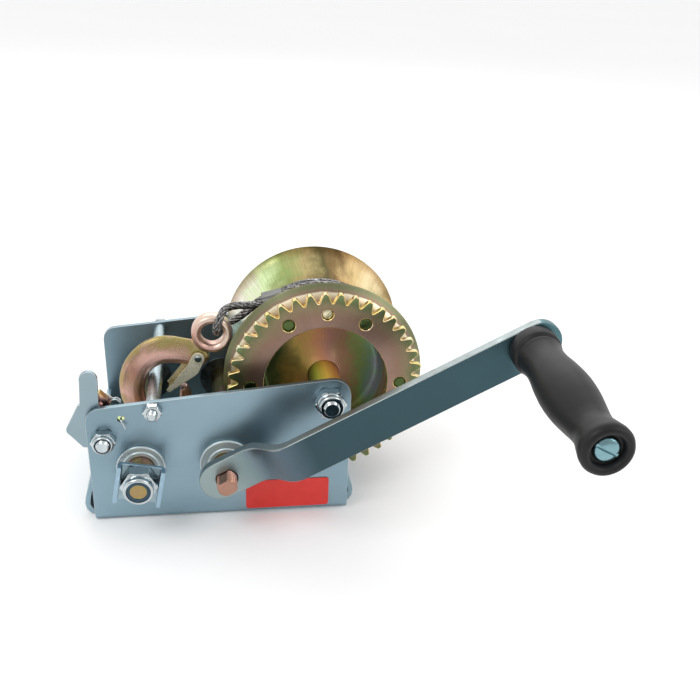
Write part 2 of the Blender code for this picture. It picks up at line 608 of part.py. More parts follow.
def hook_outline():
    """Spine, bowl and point, walked round the outside and back along the inside."""
    bowl = (-35.5, 64.0)
    outside = [(-8.0, 93.0), (-15.6, 101.0), (-21.0, 102.6), (-28.0, 104.2), (-35.0, 104.2), (-43.0, 101.6),
               (-50.2, 96.6), (-56.4, 89.0), (-60.2, 80.0), (-61.4, 70.0), (-60.4, 61.2), (-57.0, 53.4),
               (-51.4, 47.8), (-43.6, 45.6)]
    underside = [(-35.5, 45.2), (-26.0, 47.6), (-19.6, 53.0), (-17.0, 60.0), (-17.4, 66.0), (-20.6, 71.6)]
    inside = [(-25.0, 68.6)] + arc(bowl, 10.4, 10, -160, 9)
    spine = [(-45.9, 67.0), (-44.6, 75.0), (-41.6, 80.8), (-36.6, 84.8), (-30.0, 86.6), (-17.6, 84.8),
             (-9.0, 84.4), (-4.0, 90.0)]
    return outside + underside + inside + spine


def make_hook():
    hook = plate("hook", hook_outline(), HOOK_Y[0], HOOK_Y[1])
    join(hook, rod("eye", HOOK_EYE, HOOK_Y[0] - 0.4, HOOK_Y[1] + 0.4, HOOK_EYE_RADIUS, FINE))
    cut(hook, rod("eye_hole", HOOK_EYE, HOOK_Y[0] - 2, HOOK_Y[1] + 2, HOOK_HOLE_RADIUS, FINE))
    cut(hook, rod("bore", LATCH_PIVOT, HOOK_Y[0] - 2, HOOK_Y[1] + 2, 1.8, 12))
    finish(hook, "forged")
    pin = rod("latch_pin", LATCH_PIVOT, HOOK_Y[0] - 3.0, HOOK_Y[1] + 3.0, 1.5, 12)
    finish(pin, "bright")


def make_latch():
    """Folded sheet: two cheeks beside the hook, joined by a web on its outer side."""
    px, pz = LATCH_PIVOT
    tip = -LATCH_LENGTH
    knuckle = arc((0, 0), 3.8, -80, 90, 8)
    outline = [(tip, 0.6), (tip, -1.8), (-8.5, -6.6), (0.0, -4.2)] + knuckle + [(-8.0, 1.6)]
    # The space between the cheeks is open above the web, and all round near the pivot
    space = [(tip - 3, 9.0), (tip - 3, 0.1), (-9.5, LATCH_SHEET - 6.4), (-8.5, -9.0), (9.0, -9.0), (9.0, 9.0)]
    low, high = HOOK_Y[0] - 1.6, HOOK_Y[1] + 1.6
    shape, inner = [rotate([(px + x, pz + z) for x, z in points], LATCH_PIVOT, LATCH_ANGLE)
                    for points in (outline, space)]
    latch = plate("latch", shape, low, high)
    cut(latch, plate("slot", inner, low + LATCH_SHEET, high - LATCH_SHEET))
    cut(latch, rod("bore", LATCH_PIVOT, low - 2, high + 2, 1.5 + RUNNING, 12))
    finish(latch, "chromate", LATCH_PIVOT)


# ---------------------------------------------------------------- crank, bracket and label

def along_arm(distance, across):
    """Point in X and Z at a distance along the crank arm and across it."""
    a = math.radians(CRANK_ANGLE)
    return (CRANK_AXIS[0] + distance * math.cos(a) - across * math.sin(a),
            CRANK_AXIS[1] + distance * math.sin(a) + across * math.cos(a))


def make_crank_arm():
    """Flat bar with a joggle, drawn as a side profile and trimmed to its rounded outline."""
    inner_face = STACK_FACE - GAP
    front = inner_face - BAR_THICK
    step = BAR_OUT_FACE - front
    past = CRANK_REACH + 60
    lag = 1.6                               # the inner face bends a little further out than the front
    profile = [(-30, front), (BEND_START, front), (BEND_END, front + step), (past, front + step),
               (past, inner_face + step), (BEND_END + lag, inner_face + step), (BEND_START + lag, inner_face),
               (-30, inner_face)]

    def build(bm):
        sides = []
        for across in (-40, 40):
            sides.append([])
            for distance, y in profile:
                x, z = along_arm(distance, across)
                sides[-1].append(bm.verts.new(place(x, y, z)))
        count = len(profile)
        for i in range(count):
            j = (i + 1) % count
            bm.faces.new((sides[0][i], sides[0][j], sides[1][j], sides[1][i]))
        bm.faces.new(sides[0])
        bm.faces.new(sides[1])
    arm = mesh_object("crank_arm", build)
    half = BAR_WIDTH / 2
    round_end = [math.pi * i / 12 for i in range(13)]
    start = [along_arm(-4.0 - half * math.sin(t), half * math.cos(t)) for t in round_end]
    end = [along_arm(CRANK_REACH + PAST_GRIP + half * math.sin(t), -half * math.cos(t)) for t in round_end]
    boolean(arm, plate("trim", start + end, NEAR - 60, NEAR), "INTERSECT")
    flats = double_d(CRANK_AXIS, THREAD_RADIUS + GAP, FLAT_HALF + GAP, CRANK_ANGLE)
    grip_bore = rod("bore", along_arm(CRANK_REACH, 0), NEAR - 60, NEAR, 4.3)
    cut(arm, plate("slot", flats, NEAR - 40, NEAR), grip_bore)
    finish(arm, "zinc", CRANK_AXIS)


def double_d(centre, radius, half, angle):
    """Round outline with two flats."""
    edge = math.degrees(math.asin(half / radius))
    points = arc(centre, radius, -edge, edge, 8) + arc(centre, radius, 180 - edge, 180 + edge, 8)
    return rotate(points, centre, angle)


def grip_profile():
    """Radius against distance along the grip: collar, bead, neck, palm swell, neck and flare."""
    collar = [(0.0, 13.8), (10.0, 13.8), (16.0, 12.0)]
    palm = [(26.0, 12.6), (38.0, 13.9), (50.0, 14.3), (62.0, 13.8), (82.0, 11.2), (91.0, 10.9)]
    flare = [(98.0, 12.2), (106.0, 13.4), (110.6, 11.4)]
    return collar + palm + flare


def make_grip():
    axis = along_arm(CRANK_REACH, 0)
    outside = [(GRIP_START - s, r) for s, r in grip_profile()]
    recess = [(GRIP_END + 0.4, 8.4), (GRIP_END + 4.0, 7.8), (GRIP_END + 4.0, 4.0 + RUNNING)]
    finish(turned("grip", outside + recess + [(GRIP_START, 4.0 + RUNNING)], axis, FINE), "black_grip", axis)
    spindle = turned("grip_spindle", [(GRIP_END + 1.2, 0), (GRIP_END + 1.6, 4.4), (GRIP_END + 3.6, 6.8),
                                      (GRIP_END + 3.6, 4.0), (BAR_OUT_FACE + BAR_THICK + 10.6, 4.0),
                                      (BAR_OUT_FACE + BAR_THICK + 10.6, 0)], axis)
    finish(spindle, "bright", CRANK_AXIS)
    bar_back = BAR_OUT_FACE + BAR_THICK
    nut = plate("grip_nut", hexagon(axis, 13.0), bar_back + GAP, bar_back + 9.0)
    cut(nut, rod("bore", axis, NEAR - 60, NEAR, 4.3))
    finish(nut, "bright", CRANK_AXIS)


def make_bracket():
    """Shallow channel on the low-speed shaft that keys the crank arm."""
    ax, az = LOW_AXIS
    half, wall, depth = 13.7, 2.4, 7.5
    top, bottom = 9.6, -15.0
    legs = [(-half, top), (half, top), (half, bottom), (-half, bottom)]
    outer = [(ax + x, az + z) for x, z in legs]
    web_back = STACK_FACE - GAP
    bracket = plate("low_speed_bracket", rotate(outer, LOW_AXIS, BRACKET_TILT), web_back - depth, web_back)
    channel = [(ax - half + wall, az + 40), (ax + half - wall, az + 40), (ax + half - wall, az - 40),
               (ax - half + wall, az - 40)]
    cut(bracket, plate("channel", rotate(channel, LOW_AXIS, BRACKET_TILT), web_back - 20, web_back - wall))
    flats = double_d(LOW_AXIS, THREAD_RADIUS + GAP, FLAT_HALF + GAP, BRACKET_TILT)
    cut(bracket, plate("slot", flats, NEAR - 40, NEAR))
    finish(bracket, "zinc", LOW_AXIS)
    washer_face = web_back - wall - GAP
    hex_nut("low_speed_nut", LOW_AXIS, washer_face, 19.0, 13.4, THREAD_RADIUS + GAP, True)
    move_pivot("low_speed_nut", LOW_AXIS)
    nylon_ring("low_speed_nut_ring", LOW_AXIS, washer_face, 13.4, 19.0, THREAD_RADIUS + GAP)
    move_pivot("low_speed_nut_ring", LOW_AXIS)


def move_pivot(name, axis):
    """Set a finished object's origin on its joint's axis without moving its shape."""
    obj = bpy.data.objects[name]
    centre = place(axis[0], 0, axis[1])
    obj.data.transform(Matrix.Translation(-centre))
    obj.location = centre


def make_label():
    """Plain red sticker with rounded corners on the crank-side plate."""
    x0, x1, z0, z1 = RIGHT - 63.5, RIGHT - 12.0, 3.4, 23.8
    corner = 2.0
    outline = []
    for cx, cz, first in ((x1 - corner, z1 - corner, 0), (x0 + corner, z1 - corner, 90),
                          (x0 + corner, z0 + corner, 180), (x1 - corner, z0 + corner, 270)):
        outline += arc((cx, cz), corner, first, first + 90, 4)
    finish(plate("label", outline, NEAR - 0.5, NEAR - 0.3), "label")


def main():
    for obj in list(bpy.data.objects):
        bpy.data.objects.remove(obj)
    make_frame()
    make_bushings()
    make_shafts()
    make_ratchet()
    make_pawl()
    make_pawl_spring()
    make_pawl_bolt()
    make_tie()
    make_drum()
    make_axle()
    make_cable_lead()
    make_ferrule()
    make_hook()
    make_latch()
    make_crank_arm()
    make_grip()
    make_bracket()
    make_label()


main()
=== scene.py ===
"""Finished look of the boat trailer winch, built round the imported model.

Sizes are in millimetres and angles in degrees. +X is the drum end, -Y the crank side, +Z up. The
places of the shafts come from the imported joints, and those of the parts from their packed boxes.
"""
import json
import math

import bmesh
import bpy
from mathutils import Matrix, Vector


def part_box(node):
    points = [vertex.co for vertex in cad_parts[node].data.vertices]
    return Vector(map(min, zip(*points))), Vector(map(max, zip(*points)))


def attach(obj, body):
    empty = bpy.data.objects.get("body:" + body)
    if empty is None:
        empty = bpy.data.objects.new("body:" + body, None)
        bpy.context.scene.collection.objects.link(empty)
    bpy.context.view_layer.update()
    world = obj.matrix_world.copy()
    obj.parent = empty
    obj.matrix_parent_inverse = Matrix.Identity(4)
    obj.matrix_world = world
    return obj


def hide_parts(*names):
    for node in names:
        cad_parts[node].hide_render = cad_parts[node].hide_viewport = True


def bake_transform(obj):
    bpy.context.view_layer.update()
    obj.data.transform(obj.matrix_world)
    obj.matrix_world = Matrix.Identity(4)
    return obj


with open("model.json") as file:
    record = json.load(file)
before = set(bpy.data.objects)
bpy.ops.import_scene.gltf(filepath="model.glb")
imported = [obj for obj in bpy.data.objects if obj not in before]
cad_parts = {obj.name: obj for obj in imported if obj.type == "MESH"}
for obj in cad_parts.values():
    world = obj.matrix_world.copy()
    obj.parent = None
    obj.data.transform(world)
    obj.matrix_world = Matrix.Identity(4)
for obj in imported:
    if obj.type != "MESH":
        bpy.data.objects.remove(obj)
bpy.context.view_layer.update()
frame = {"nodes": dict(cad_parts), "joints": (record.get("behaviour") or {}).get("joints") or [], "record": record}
MM = 0.001
JOINT_AT = {joint["name"]: joint["pos_m"] for joint in frame["joints"]}


def joint_axis(name):
    """x and z of a joint, whose axis lies along Y."""
    return JOINT_AT[name][0] / MM, JOINT_AT[name][2] / MM


def box(node):
    low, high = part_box(node)
    return low / MM, high / MM


def span(node):
    """Lowest and highest y of a node."""
    low, high = box(node)
    return low.y, high.y


def middle(node):
    """x and z of the middle of a node's box."""
    low, high = box(node)
    return (low.x + high.x) / 2, (low.z + high.z) / 2


DRUM = joint_axis("drum_turn")
CRANK = joint_axis("crank_turn")
LOW = joint_axis("low_shaft_turn")
GRIP = joint_axis("grip_spin")
PAWL = joint_axis("pawl_swing")
LATCH = joint_axis("latch_swing")
TIE = middle("tie_nut")
NEAR, FAR = span("frame")
FAR_IN = FAR - 3.0                          # inner face of the far plate
PLATE_TOP = 92.0
RIM_END = 62.4                              # radius inside the drum rim's cut edge
CRANK_ANGLE = math.degrees(math.atan2(GRIP[1] - CRANK[1], GRIP[0] - CRANK[0]))
CRANK_REACH = math.dist(CRANK, GRIP)
BRACKET_TILT = -11.0
BOWL = (-33.0, 72.0)                        # middle of the hook's bowl
ARM_TURN = math.radians(CRANK_ANGLE)
ALONG_ARM = Vector((math.cos(ARM_TURN), 0, math.sin(ARM_TURN)))
ACROSS_ARM = Vector((-math.sin(ARM_TURN), 0, math.cos(ARM_TURN)))
GAP = 0.3                                   # between two pieces that touch
ROUND = 96                                  # sides of a large round piece
SMALL_ROUND = 48
TINY_ROUND = 32
BODIES = frame["record"]["behaviour"]["bodies"]
BODY = {name: body for body, names in BODIES.items() for name in names}


# ---- mesh helpers

def build_mesh(name, points, faces):
    mesh = bpy.data.meshes.new(name)
    mesh.from_pydata([Vector(point) * MM for point in points], [], faces)
    return mesh


def add_object(name, data):
    obj = bpy.data.objects.new(name, data)
    bpy.context.scene.collection.objects.link(obj)
    return obj


def baked(obj):
    """The mesh of an object with its modifiers or bevels applied; the object goes."""
    graph = bpy.context.evaluated_depsgraph_get()
    mesh = bpy.data.meshes.new_from_object(obj.evaluated_get(graph))
    bpy.data.objects.remove(obj)
    return mesh


def face_outwards(mesh, merge=0.0):
    """Turn the faces outwards, after merging the points closer than a distance in metres."""
    shape = bmesh.new()
    shape.from_mesh(mesh)
    if merge:
        bmesh.ops.remove_doubles(shape, verts=shape.verts, dist=merge)
    bmesh.ops.recalc_face_normals(shape, faces=shape.faces)
    shape.to_mesh(mesh)
    shape.free()


def add_piece(name, mesh, nodes, finish, sharp=38.0, flat_weight=True, rides=True):
    """Show a mesh in place of CAD nodes, on their body."""
    face_outwards(mesh, 1e-7)
    mesh.shade_smooth()
    mesh.set_sharp_from_angle(angle=math.radians(sharp))
    mesh.materials.clear()
    for material in finish if isinstance(finish, list) else [finish]:
        mesh.materials.append(material)
    piece = add_object(name, mesh)
    if flat_weight:
        piece.modifiers.new("flat faces", "WEIGHTED_NORMAL").keep_sharp = True
    if rides:
        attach(piece, BODY[nodes[0]])
    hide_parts(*nodes)
    return piece


def paint(piece, choose):
    """Give each face the material whose index choose(face) says."""
    for polygon in piece.data.polygons:
        polygon.material_index = choose(polygon)


def paint_sides(piece, limit=0.93):
    """Give the faces that don't lie flat across Y the second material."""
    paint(piece, lambda polygon: int(abs(polygon.normal.y) < limit))


def soften(points, radius, steps=3):
    """Round the corners of a closed outline; a point on the axis of a turned shape stays."""
    rounded = []
    for i, corner in enumerate(points):
        corner = Vector(corner)
        before, after = Vector(points[i - 1]), Vector(points[(i + 1) % len(points)])
        if corner.y == 0:
            rounded.append(tuple(corner))
            continue
        reach = min(radius, 0.45 * (before - corner).length, 0.45 * (after - corner).length)
        start = corner + (before - corner).normalized() * reach
        end = corner + (after - corner).normalized() * reach
        for k in range(steps + 1):
            t = k / steps
            rounded.append(tuple((1 - t) ** 2 * start + 2 * t * (1 - t) * corner + t * t * end))
    return rounded


def smooth_line(points, per_span):
    """Catmull-Rom curve through points of any dimension."""
    points = [Vector(p) for p in points]
    padded = [2 * points[0] - points[1]] + points + [2 * points[-1] - points[-2]]
    line = []
    for a, b, c, d in zip(padded, padded[1:], padded[2:], padded[3:]):
        for k in range(per_span):
            t = k / per_span
            line.append(0.5 * (2 * b + (c - a) * t + (2 * a - 5 * b + 4 * c - d) * t * t
                               + (3 * b - a - 3 * c + d) * t ** 3))
    return line + [points[-1]]


def loft(rings, closed=False):
    """Join rings of equal length; a ring of one point is a tip, and open ends get a cap."""
    points, starts, faces = [], [], []
    for ring in rings:
        starts.append(len(points))
        points += ring
    for a in range(len(rings) if closed else len(rings) - 1):
        b = (a + 1) % len(rings)
        count = max(len(rings[a]), len(rings[b]))
        for i in range(count):
            j = (i + 1) % count
            corners = [starts[a] + i % len(rings[a]), starts[a] + j % len(rings[a]),
                       starts[b] + j % len(rings[b]), starts[b] + i % len(rings[b])]
            corners = list(dict.fromkeys(corners))
            if len(corners) > 2:
                faces.append(corners)
    if not closed:
        for k in (0, len(rings) - 1):
            if len(rings[k]) > 2:
                faces.append([starts[k] + i for i in range(len(rings[k]))])
    return points, faces


def shift(profile, y0):
    """(y, radius) points moved along the axis."""
    return [(y0 + y, radius) for y, radius in profile]


def turned(name, profile, axis, sides=ROUND, radius_at=None):
    """Turn (y, radius) points about a Y axis; radius_at(radius, angle) may change a radius."""
    rings = []
    for y, radius in profile:
        if radius == 0:
            rings.append([(axis[0], y, axis[1])])
            continue
        ring = []
        for i in range(sides):
            a = 2 * math.pi * i / sides
            x, z = polar(axis, radius_at(radius, a) if radius_at else radius, a)
            ring.append((x, y, z))
        rings.append(ring)
    return build_mesh(name, *loft(rings, closed=True))


def tube_piece(name, node, axis, inner, outer, material, rounding=0.4, sides=SMALL_ROUND):
    """Ring or tube along a node's whole length."""
    y0, y1 = span(node)
    profile = soften([(y0, inner), (y0, outer), (y1, outer), (y1, inner)], rounding)
    add_piece(name, turned(node, profile, axis, sides), [node], material)


def slab(name, outlines, y0, y1, bevel=0.4, steps=2):
    """Flat plate across Y with rounded edges; outlines after the first are holes."""
    curve = bpy.data.curves.new(name, "CURVE")
    curve.dimensions = "2D"
    curve.fill_mode = "BOTH"
    curve.extrude = ((y1 - y0) / 2 - bevel) * MM
    curve.bevel_depth = bevel * MM
    curve.bevel_resolution = steps
    curve.offset = -bevel * MM
    for k, outline in enumerate(outlines):
        turn = sum(a[0] * b[1] - b[0] * a[1] for a, b in zip(outline, outline[1:] + outline[:1]))
        if (turn < 0) != (k > 0):
            outline = outline[::-1]
        spline = curve.splines.new("POLY")
        spline.points.add(len(outline) - 1)
        spline.use_cyclic_u = True
        for point, (x, z) in zip(spline.points, outline):
            point.co = (x * MM, z * MM, 0.0, 1.0)
    mesh = baked(add_object(name, curve))
    mesh.transform(Matrix.Translation((0, (y0 + y1) / 2 * MM, 0)) @ Matrix.Rotation(math.pi / 2, 4, "X"))
    return mesh


def polar(centre, radius, angle):
    """Point at an angle in radians."""
    return centre[0] + radius * math.cos(angle), centre[1] + radius * math.sin(angle)


def circle(centre, radius, count=TINY_ROUND):
    return [polar(centre, radius, 2 * math.pi * i / count) for i in range(count)]


def arc(centre, radius, first, last, count):
    return [polar(centre, radius, math.radians(first + (last - first) * i / (count - 1)))
            for i in range(count)]


def rotate(points, centre, degrees):
    c, s = math.cos(math.radians(degrees)), math.sin(math.radians(degrees))
    return [(centre[0] + c * (x - centre[0]) - s * (z - centre[1]),
             centre[1] + s * (x - centre[0]) + c * (z - centre[1])) for x, z in points]


def join_meshes(name, meshes):
    """One mesh from several, which keep their own closed shells."""
    together = bmesh.new()
    for mesh in meshes:
        together.from_mesh(mesh)
    joined = bpy.data.meshes.new(name)
    together.to_mesh(joined)
    together.free()
    return joined


def cut_mesh(mesh, cutter):
    """Exact Boolean difference."""
    target = add_object("target", mesh)
    tool = add_object("tool", cutter)
    mod = target.modifiers.new("cut", "BOOLEAN")
    mod.operation = "DIFFERENCE"
    mod.object = tool
    result = baked(target)
    bpy.data.objects.remove(tool)
    return result


def side_frames(path):
    """Two side directions at each point, carried along without twist."""
    frames = []
    side = None
    for i, point in enumerate(path):
        along = (path[min(i + 1, len(path) - 1)] - path[max(i - 1, 0)]).normalized()
        if side is None:
            side = along.cross(Vector((0, 0, 1)))
            if side.length < 0.1:
                side = along.cross(Vector((1, 0, 0)))
        side = (side - along * side.dot(along)).normalized()
        frames.append((side, along.cross(side)))
    return frames


def tube(name, path, radius, sides):
    """Round bar along a path, with closed ends."""
    angles = [2 * math.pi * k / sides for k in range(sides)]
    rings = [[point + radius * (math.cos(a) * side + math.sin(a) * up) for a in angles]
             for point, (side, up) in zip(path, side_frames(path))]
    return build_mesh(name, *loft(rings))


def resample(path, step):
    """Points at an even step along a path."""
    even = [path[0]]
    left = step
    for a, b in zip(path, path[1:]):
        length = (b - a).length
        at = left
        while at <= length:
            even.append(a.lerp(b, at / length))
            at += step
        left = at - length
    return even


CABLE_RADIUS = 2.4
STRANDS = 6
STRAND_RADIUS = CABLE_RADIUS * 0.36
STRAND_CIRCLE = CABLE_RADIUS * 0.64         # where the strands' middles lie
LAY = 26.0                                  # length in which a strand goes once round the cable


def rope(name, path, sides, step):
    """Wire rope along a path: strands round a core."""
    path = resample(path, step)
    meshes = [tube("core", path, CABLE_RADIUS * 0.5, sides)]
    for k in range(STRANDS):
        centre = []
        for i, (point, (side, up)) in enumerate(zip(path, side_frames(path))):
            a = 2 * math.pi * (k / STRANDS + i * step / LAY)
            centre.append(point + STRAND_CIRCLE * (math.cos(a) * side + math.sin(a) * up))
        meshes.append(tube("strand", centre, STRAND_RADIUS, sides))
    return join_meshes(name, meshes)


# ---- materials

class Tree:
    """Short calls for the nodes of a material or a world."""

    def __init__(self, node_tree, place="Object"):
        self.nodes, self.links = node_tree.nodes, node_tree.links
        self.place = self.nodes.new("ShaderNodeTexCoord").outputs[place]

    def set(self, socket, value):
        if isinstance(value, bpy.types.NodeSocket):
            self.links.new(value, socket)
        else:
            socket.default_value = value

    def add(self, kind, inputs, **settings):
        node = self.nodes.new("ShaderNode" + kind)
        for key, value in settings.items():
            setattr(node, key, value)
        for key, value in inputs.items():
            self.set(node.inputs[key], value)
        return node

    def math(self, operation, a, b=0.0, clamp=False):
        return self.add("Math", {0: a, 1: b}, operation=operation, use_clamp=clamp).outputs[0]

    def vector(self, operation, a, b=(0.0, 0.0, 0.0)):
        node = self.add("VectorMath", {0: a, 1: b}, operation=operation)
        return node.outputs["Value" if operation in ("LENGTH", "DOT_PRODUCT") else "Vector"]

    def split(self, vector):
        return self.add("SeparateXYZ", {0: vector}).outputs

    def combine(self, x, y, z):
        return self.add("CombineXYZ", {0: x, 1: y, 2: z}).outputs[0]

    def noise(self, scale, detail=3.0, seed=0.0, distortion=0.0, at=None):
        inputs = {"Vector": at or self.place, "Scale": scale, "Detail": detail, "W": seed,
                  "Distortion": distortion}
        return self.add("TexNoise", inputs, noise_dimensions="4D").outputs["Fac"]

    def centred(self, *noise):
        """Noise about zero."""
        return self.math("SUBTRACT", self.noise(*noise), 0.5)

    def ramp(self, factor, stops):
        """Colours along a factor; a stop is its place and then red, green and blue, or one grey."""
        node = self.add("ValToRGB", {"Fac": factor})
        elements = node.color_ramp.elements
        while len(elements) < len(stops):
            elements.new(0.5)
        for element, (at, *colour) in zip(elements, stops):
            element.position = at
            element.color = (*(colour * 3)[:3], 1.0)
        return node.outputs["Color"]

    def mix(self, factor, a, b, blend="MIX"):
        a, b = (value if isinstance(value, bpy.types.NodeSocket) else (*value, 1.0) for value in (a, b))
        return self.add("Mix", {0: factor, 6: a, 7: b}, data_type="RGBA", blend_type=blend).outputs[2]

    def times(self, a, b, share=1.0):
        return self.mix(share, a, b, "MULTIPLY")

    def spread(self, value, low=0.0, high=1.0):
        """Map 0.3..0.7, where most noise lies, to a range."""
        limits = {"Value": value, "From Min": 0.3, "From Max": 0.7, "To Min": low, "To Max": high}
        return self.add("MapRange", limits).outputs["Result"]

    def share(self, length, first, last):
        """Where a length in metres lies between two places in millimetres."""
        return self.math("MULTIPLY", self.math("SUBTRACT", length, first * MM), 1 / ((last - first) * MM))

    def about(self, axis):
        """Angle (0..1, from -X upside down), radius, y and x about a Y axis; lengths in metres."""
        offset = self.vector("SUBTRACT", self.place, (axis[0] * MM, 0.0, axis[1] * MM))
        x, y, z = self.split(offset)
        angle = self.math("ADD", self.math("DIVIDE", self.math("ARCTAN2", z, x), 2 * math.pi), 0.5)
        flat = self.vector("MULTIPLY", offset, (1.0, 0.0, 1.0))
        return angle, self.vector("LENGTH", flat), y, x


class Surface(Tree):
    """A material, its Principled shader and the nodes before it."""

    def __init__(self, name, metallic, roughness):
        self.material = bpy.data.materials.new(name)
        self.material.use_nodes = True
        super().__init__(self.material.node_tree)
        self.sockets = self.nodes["Principled BSDF"].inputs
        self.set(self.sockets["Metallic"], metallic)
        self.set(self.sockets["Roughness"], roughness)

    def finish(self, colour, roughness, height, strength, depth):
        """Drive the shader by a colour, a roughness and a bump whose depth is in millimetres."""
        bump = self.add("Bump", {"Height": height, "Strength": strength, "Distance": depth * MM})
        self.set(self.sockets["Base Color"], colour)
        self.set(self.sockets["Roughness"], roughness)
        self.set(self.sockets["Normal"], bump.outputs["Normal"])
        return self.material


def zinc(name, dark, light, rough=(0.30, 0.42), seed=0.0, metallic=0.9, top=1.0):
    """Blue-white zinc on smooth sheet: soft clouds, a few scuffs and painted shade that darkens it towards the
    top; top is the painted shade's factor high up.
    """
    tree = Surface(name, metallic, rough[0])
    base = tree.mix(tree.spread(tree.noise(11.0, 2.0, seed, 0.6)), dark, light)
    stretched = tree.vector("MULTIPLY", tree.place, (60.0, 200.0, 420.0))
    scuffs = tree.ramp(tree.noise(1.0, 4.0, seed, at=stretched), [(0.27, 0.86, 0.84, 0.82), (0.38, 1.0)])
    # Painted shade: the colour darkens with height, down to the factor top from about 60 mm up.
    shade = tree.ramp(tree.share(tree.split(tree.place)[2], 0.0, PLATE_TOP), [(0.0, 1.0), (0.65, top)])
    colour = tree.times(tree.times(base, scuffs, 0.5), shade)
    return tree.finish(colour, tree.spread(tree.noise(45.0, 3.0, seed + 2), *rough),
                       tree.noise(1500.0, 2.0), 0.06, 0.03)


def arm_zinc(name):
    """Dark blue zinc that is paler round the hub and at the joggle."""
    tree = Surface(name, 0.9, 0.34)
    offset = tree.vector("SUBTRACT", tree.place, (CRANK[0] * MM, 0.0, CRANK[1] * MM))
    along = tree.vector("DOT_PRODUCT", offset, tuple(ALONG_ARM))
    share = tree.math("ADD", tree.share(along, 0.0, CRANK_REACH),
                      tree.math("MULTIPLY", tree.centred(24.0), 0.10))
    colour = tree.ramp(share, [(0.0, 0.30, 0.37, 0.37), (0.06, 0.22, 0.29, 0.30), (0.12, 0.14, 0.19, 0.23),
                               (0.22, 0.10, 0.14, 0.17), (0.30, 0.042, 0.078, 0.094),
                               (0.90, 0.045, 0.088, 0.105), (1.0, 0.09, 0.18, 0.20)])
    return tree.finish(colour, tree.spread(tree.noise(60.0, 3.0, 2.0), 0.30, 0.42),
                       tree.noise(1500.0, 2.0), 0.06, 0.03)


def wear_and_sheen_edge(name, colour):
    """Paler finish with faint brown patches and bright nicks: rubbed wear on the frame's and the arm's edges,
    painted reflection and highlight on the bracket's upward and downward faces and front edges.
    """
    tree = Surface(name, 1.0, 0.3)
    nicks = tree.noise(120.0, 3.0, 3.0)
    warm = (colour[0] * 0.80, colour[1] * 0.68, colour[2] * 0.60)
    bright = (min(1.0, c * 1.3) for c in colour)
    shades = tree.ramp(nicks, [(0.26, *warm), (0.40, *colour), (0.60, *colour), (0.80, *bright)])
    return tree.finish(shades, tree.spread(nicks, 0.40, 0.28), tree.noise(700.0), 0.10, 0.05)


def chromate(name, stops, drive="noise", reach=None, mottle=0.25, streak=0.5,
             rough=(0.22, 0.34), seed=0.0, metallic=1.0, painted_light_bands=()):
    """Yellow chromate over brushed steel, whose colour runs with the film's thickness; for the dish, the flare,
    the rim and the axle the colour ramp also holds painted light.

    drive says what the colour follows about the drum's axis: radius, across, around, or only noise.
    reach is the first and last radius or place, in millimetres. bands are (radius, shade) rows of painted
    highlight and painted shade, laid over the colour in rings."""
    tree = Surface(name, metallic, rough[0])
    angle, radius, y, x = tree.about(DRUM)
    patches, fine = tree.centred(38.0, 3.0, seed, 0.8), tree.centred(170.0, 3.0, seed + 4)
    if drive == "noise":
        factor = tree.math("ADD", tree.math("MULTIPLY", patches, 2.2), 0.5)
    else:
        factor = angle if drive == "around" else tree.share(radius if drive == "radius" else x, *reach)
        factor = tree.math("ADD", factor, tree.math("MULTIPLY", patches, mottle * 3))
    factor = tree.math("ADD", factor, tree.math("MULTIPLY", fine, mottle), clamp=True)
    brushed = tree.combine(tree.math("MULTIPLY", angle, 260.0), tree.math("MULTIPLY", radius, 60.0),
                           tree.math("MULTIPLY", y, 60.0))
    streaks = tree.noise(1.0, 3.0, seed + 7, at=brushed)
    shade = tree.ramp(streaks, [(0.34, 0.80, 0.80, 0.78), (0.66, 1.0)])
    colour = tree.times(tree.ramp(factor, stops), shade, streak)
    # Painted reflection: rings of painted highlight and painted shade by radius, multiplied over the colour.
    if painted_light_bands:
        first, last = painted_light_bands[0][0], painted_light_bands[-1][0]
        share = tree.math("ADD", tree.share(radius, first, last), tree.math("MULTIPLY", patches, 0.3))
        rings = tree.ramp(share, [((r - first) / (last - first), *tone) for r, *tone in painted_light_bands])
        colour = tree.times(colour, rings)
    return tree.finish(colour, tree.spread(tree.noise(90.0, 3.0, seed + 9), *rough),
                       tree.math("ADD", streaks, fine), 0.10, 0.08)


def forged(name):
    """Chromate on a forging: copper-pink inside the bowl, olive-gold on the outer bevel."""
    tree = Surface(name, 0.9, 0.3)
    grit = tree.noise(1300.0)
    share = tree.math("ADD", tree.share(tree.about(BOWL)[1], 0.0, 50.0),
                      tree.math("MULTIPLY", tree.centred(80.0, 3.0, 1.0, 0.5), 0.35))
    base = tree.ramp(share, [(0.26, 0.44, 0.27, 0.22), (0.36, 0.68, 0.40, 0.34), (0.44, 0.66, 0.40, 0.33),
                             (0.52, 0.44, 0.27, 0.19), (0.58, 0.36, 0.27, 0.10), (0.66, 0.34, 0.29, 0.10),
                             (0.74, 0.60, 0.35, 0.29), (1.0, 0.74, 0.58, 0.48)])
    glint = tree.ramp(grit, [(0.50, 0.0), (0.80, 0.3)])
    return tree.finish(tree.mix(glint, base, (0.95, 0.84, 0.78)), tree.spread(grit, 0.26, 0.42),
                       tree.math("ADD", grit, tree.noise(420.0, 2.0, 2.0)), 0.15, 0.10)


def two_tone(name, metallic, colour, other, rough, cloud=(120.0,), grain=(900.0, 2.0), bump=(0.05, 0.03),
             gloss=None):
    """Clouds of two colours. cloud, grain and gloss are noises: of the colour, the bump, the roughness."""
    tree = Surface(name, metallic, rough[0])
    clouds = tree.noise(*cloud)
    return tree.finish(tree.mix(tree.spread(clouds), colour, other),
                       tree.spread(tree.noise(*gloss) if gloss else clouds, *rough),
                       tree.noise(*grain), *bump)


def bright_zinc(name, colour, rough, metallic=1.0):
    return two_tone(name, metallic, colour, [c * 0.8 for c in colour], rough, (140.0,), bump=(0.08, 0.05),
                    gloss=(300.0, 3.0, 5.0))


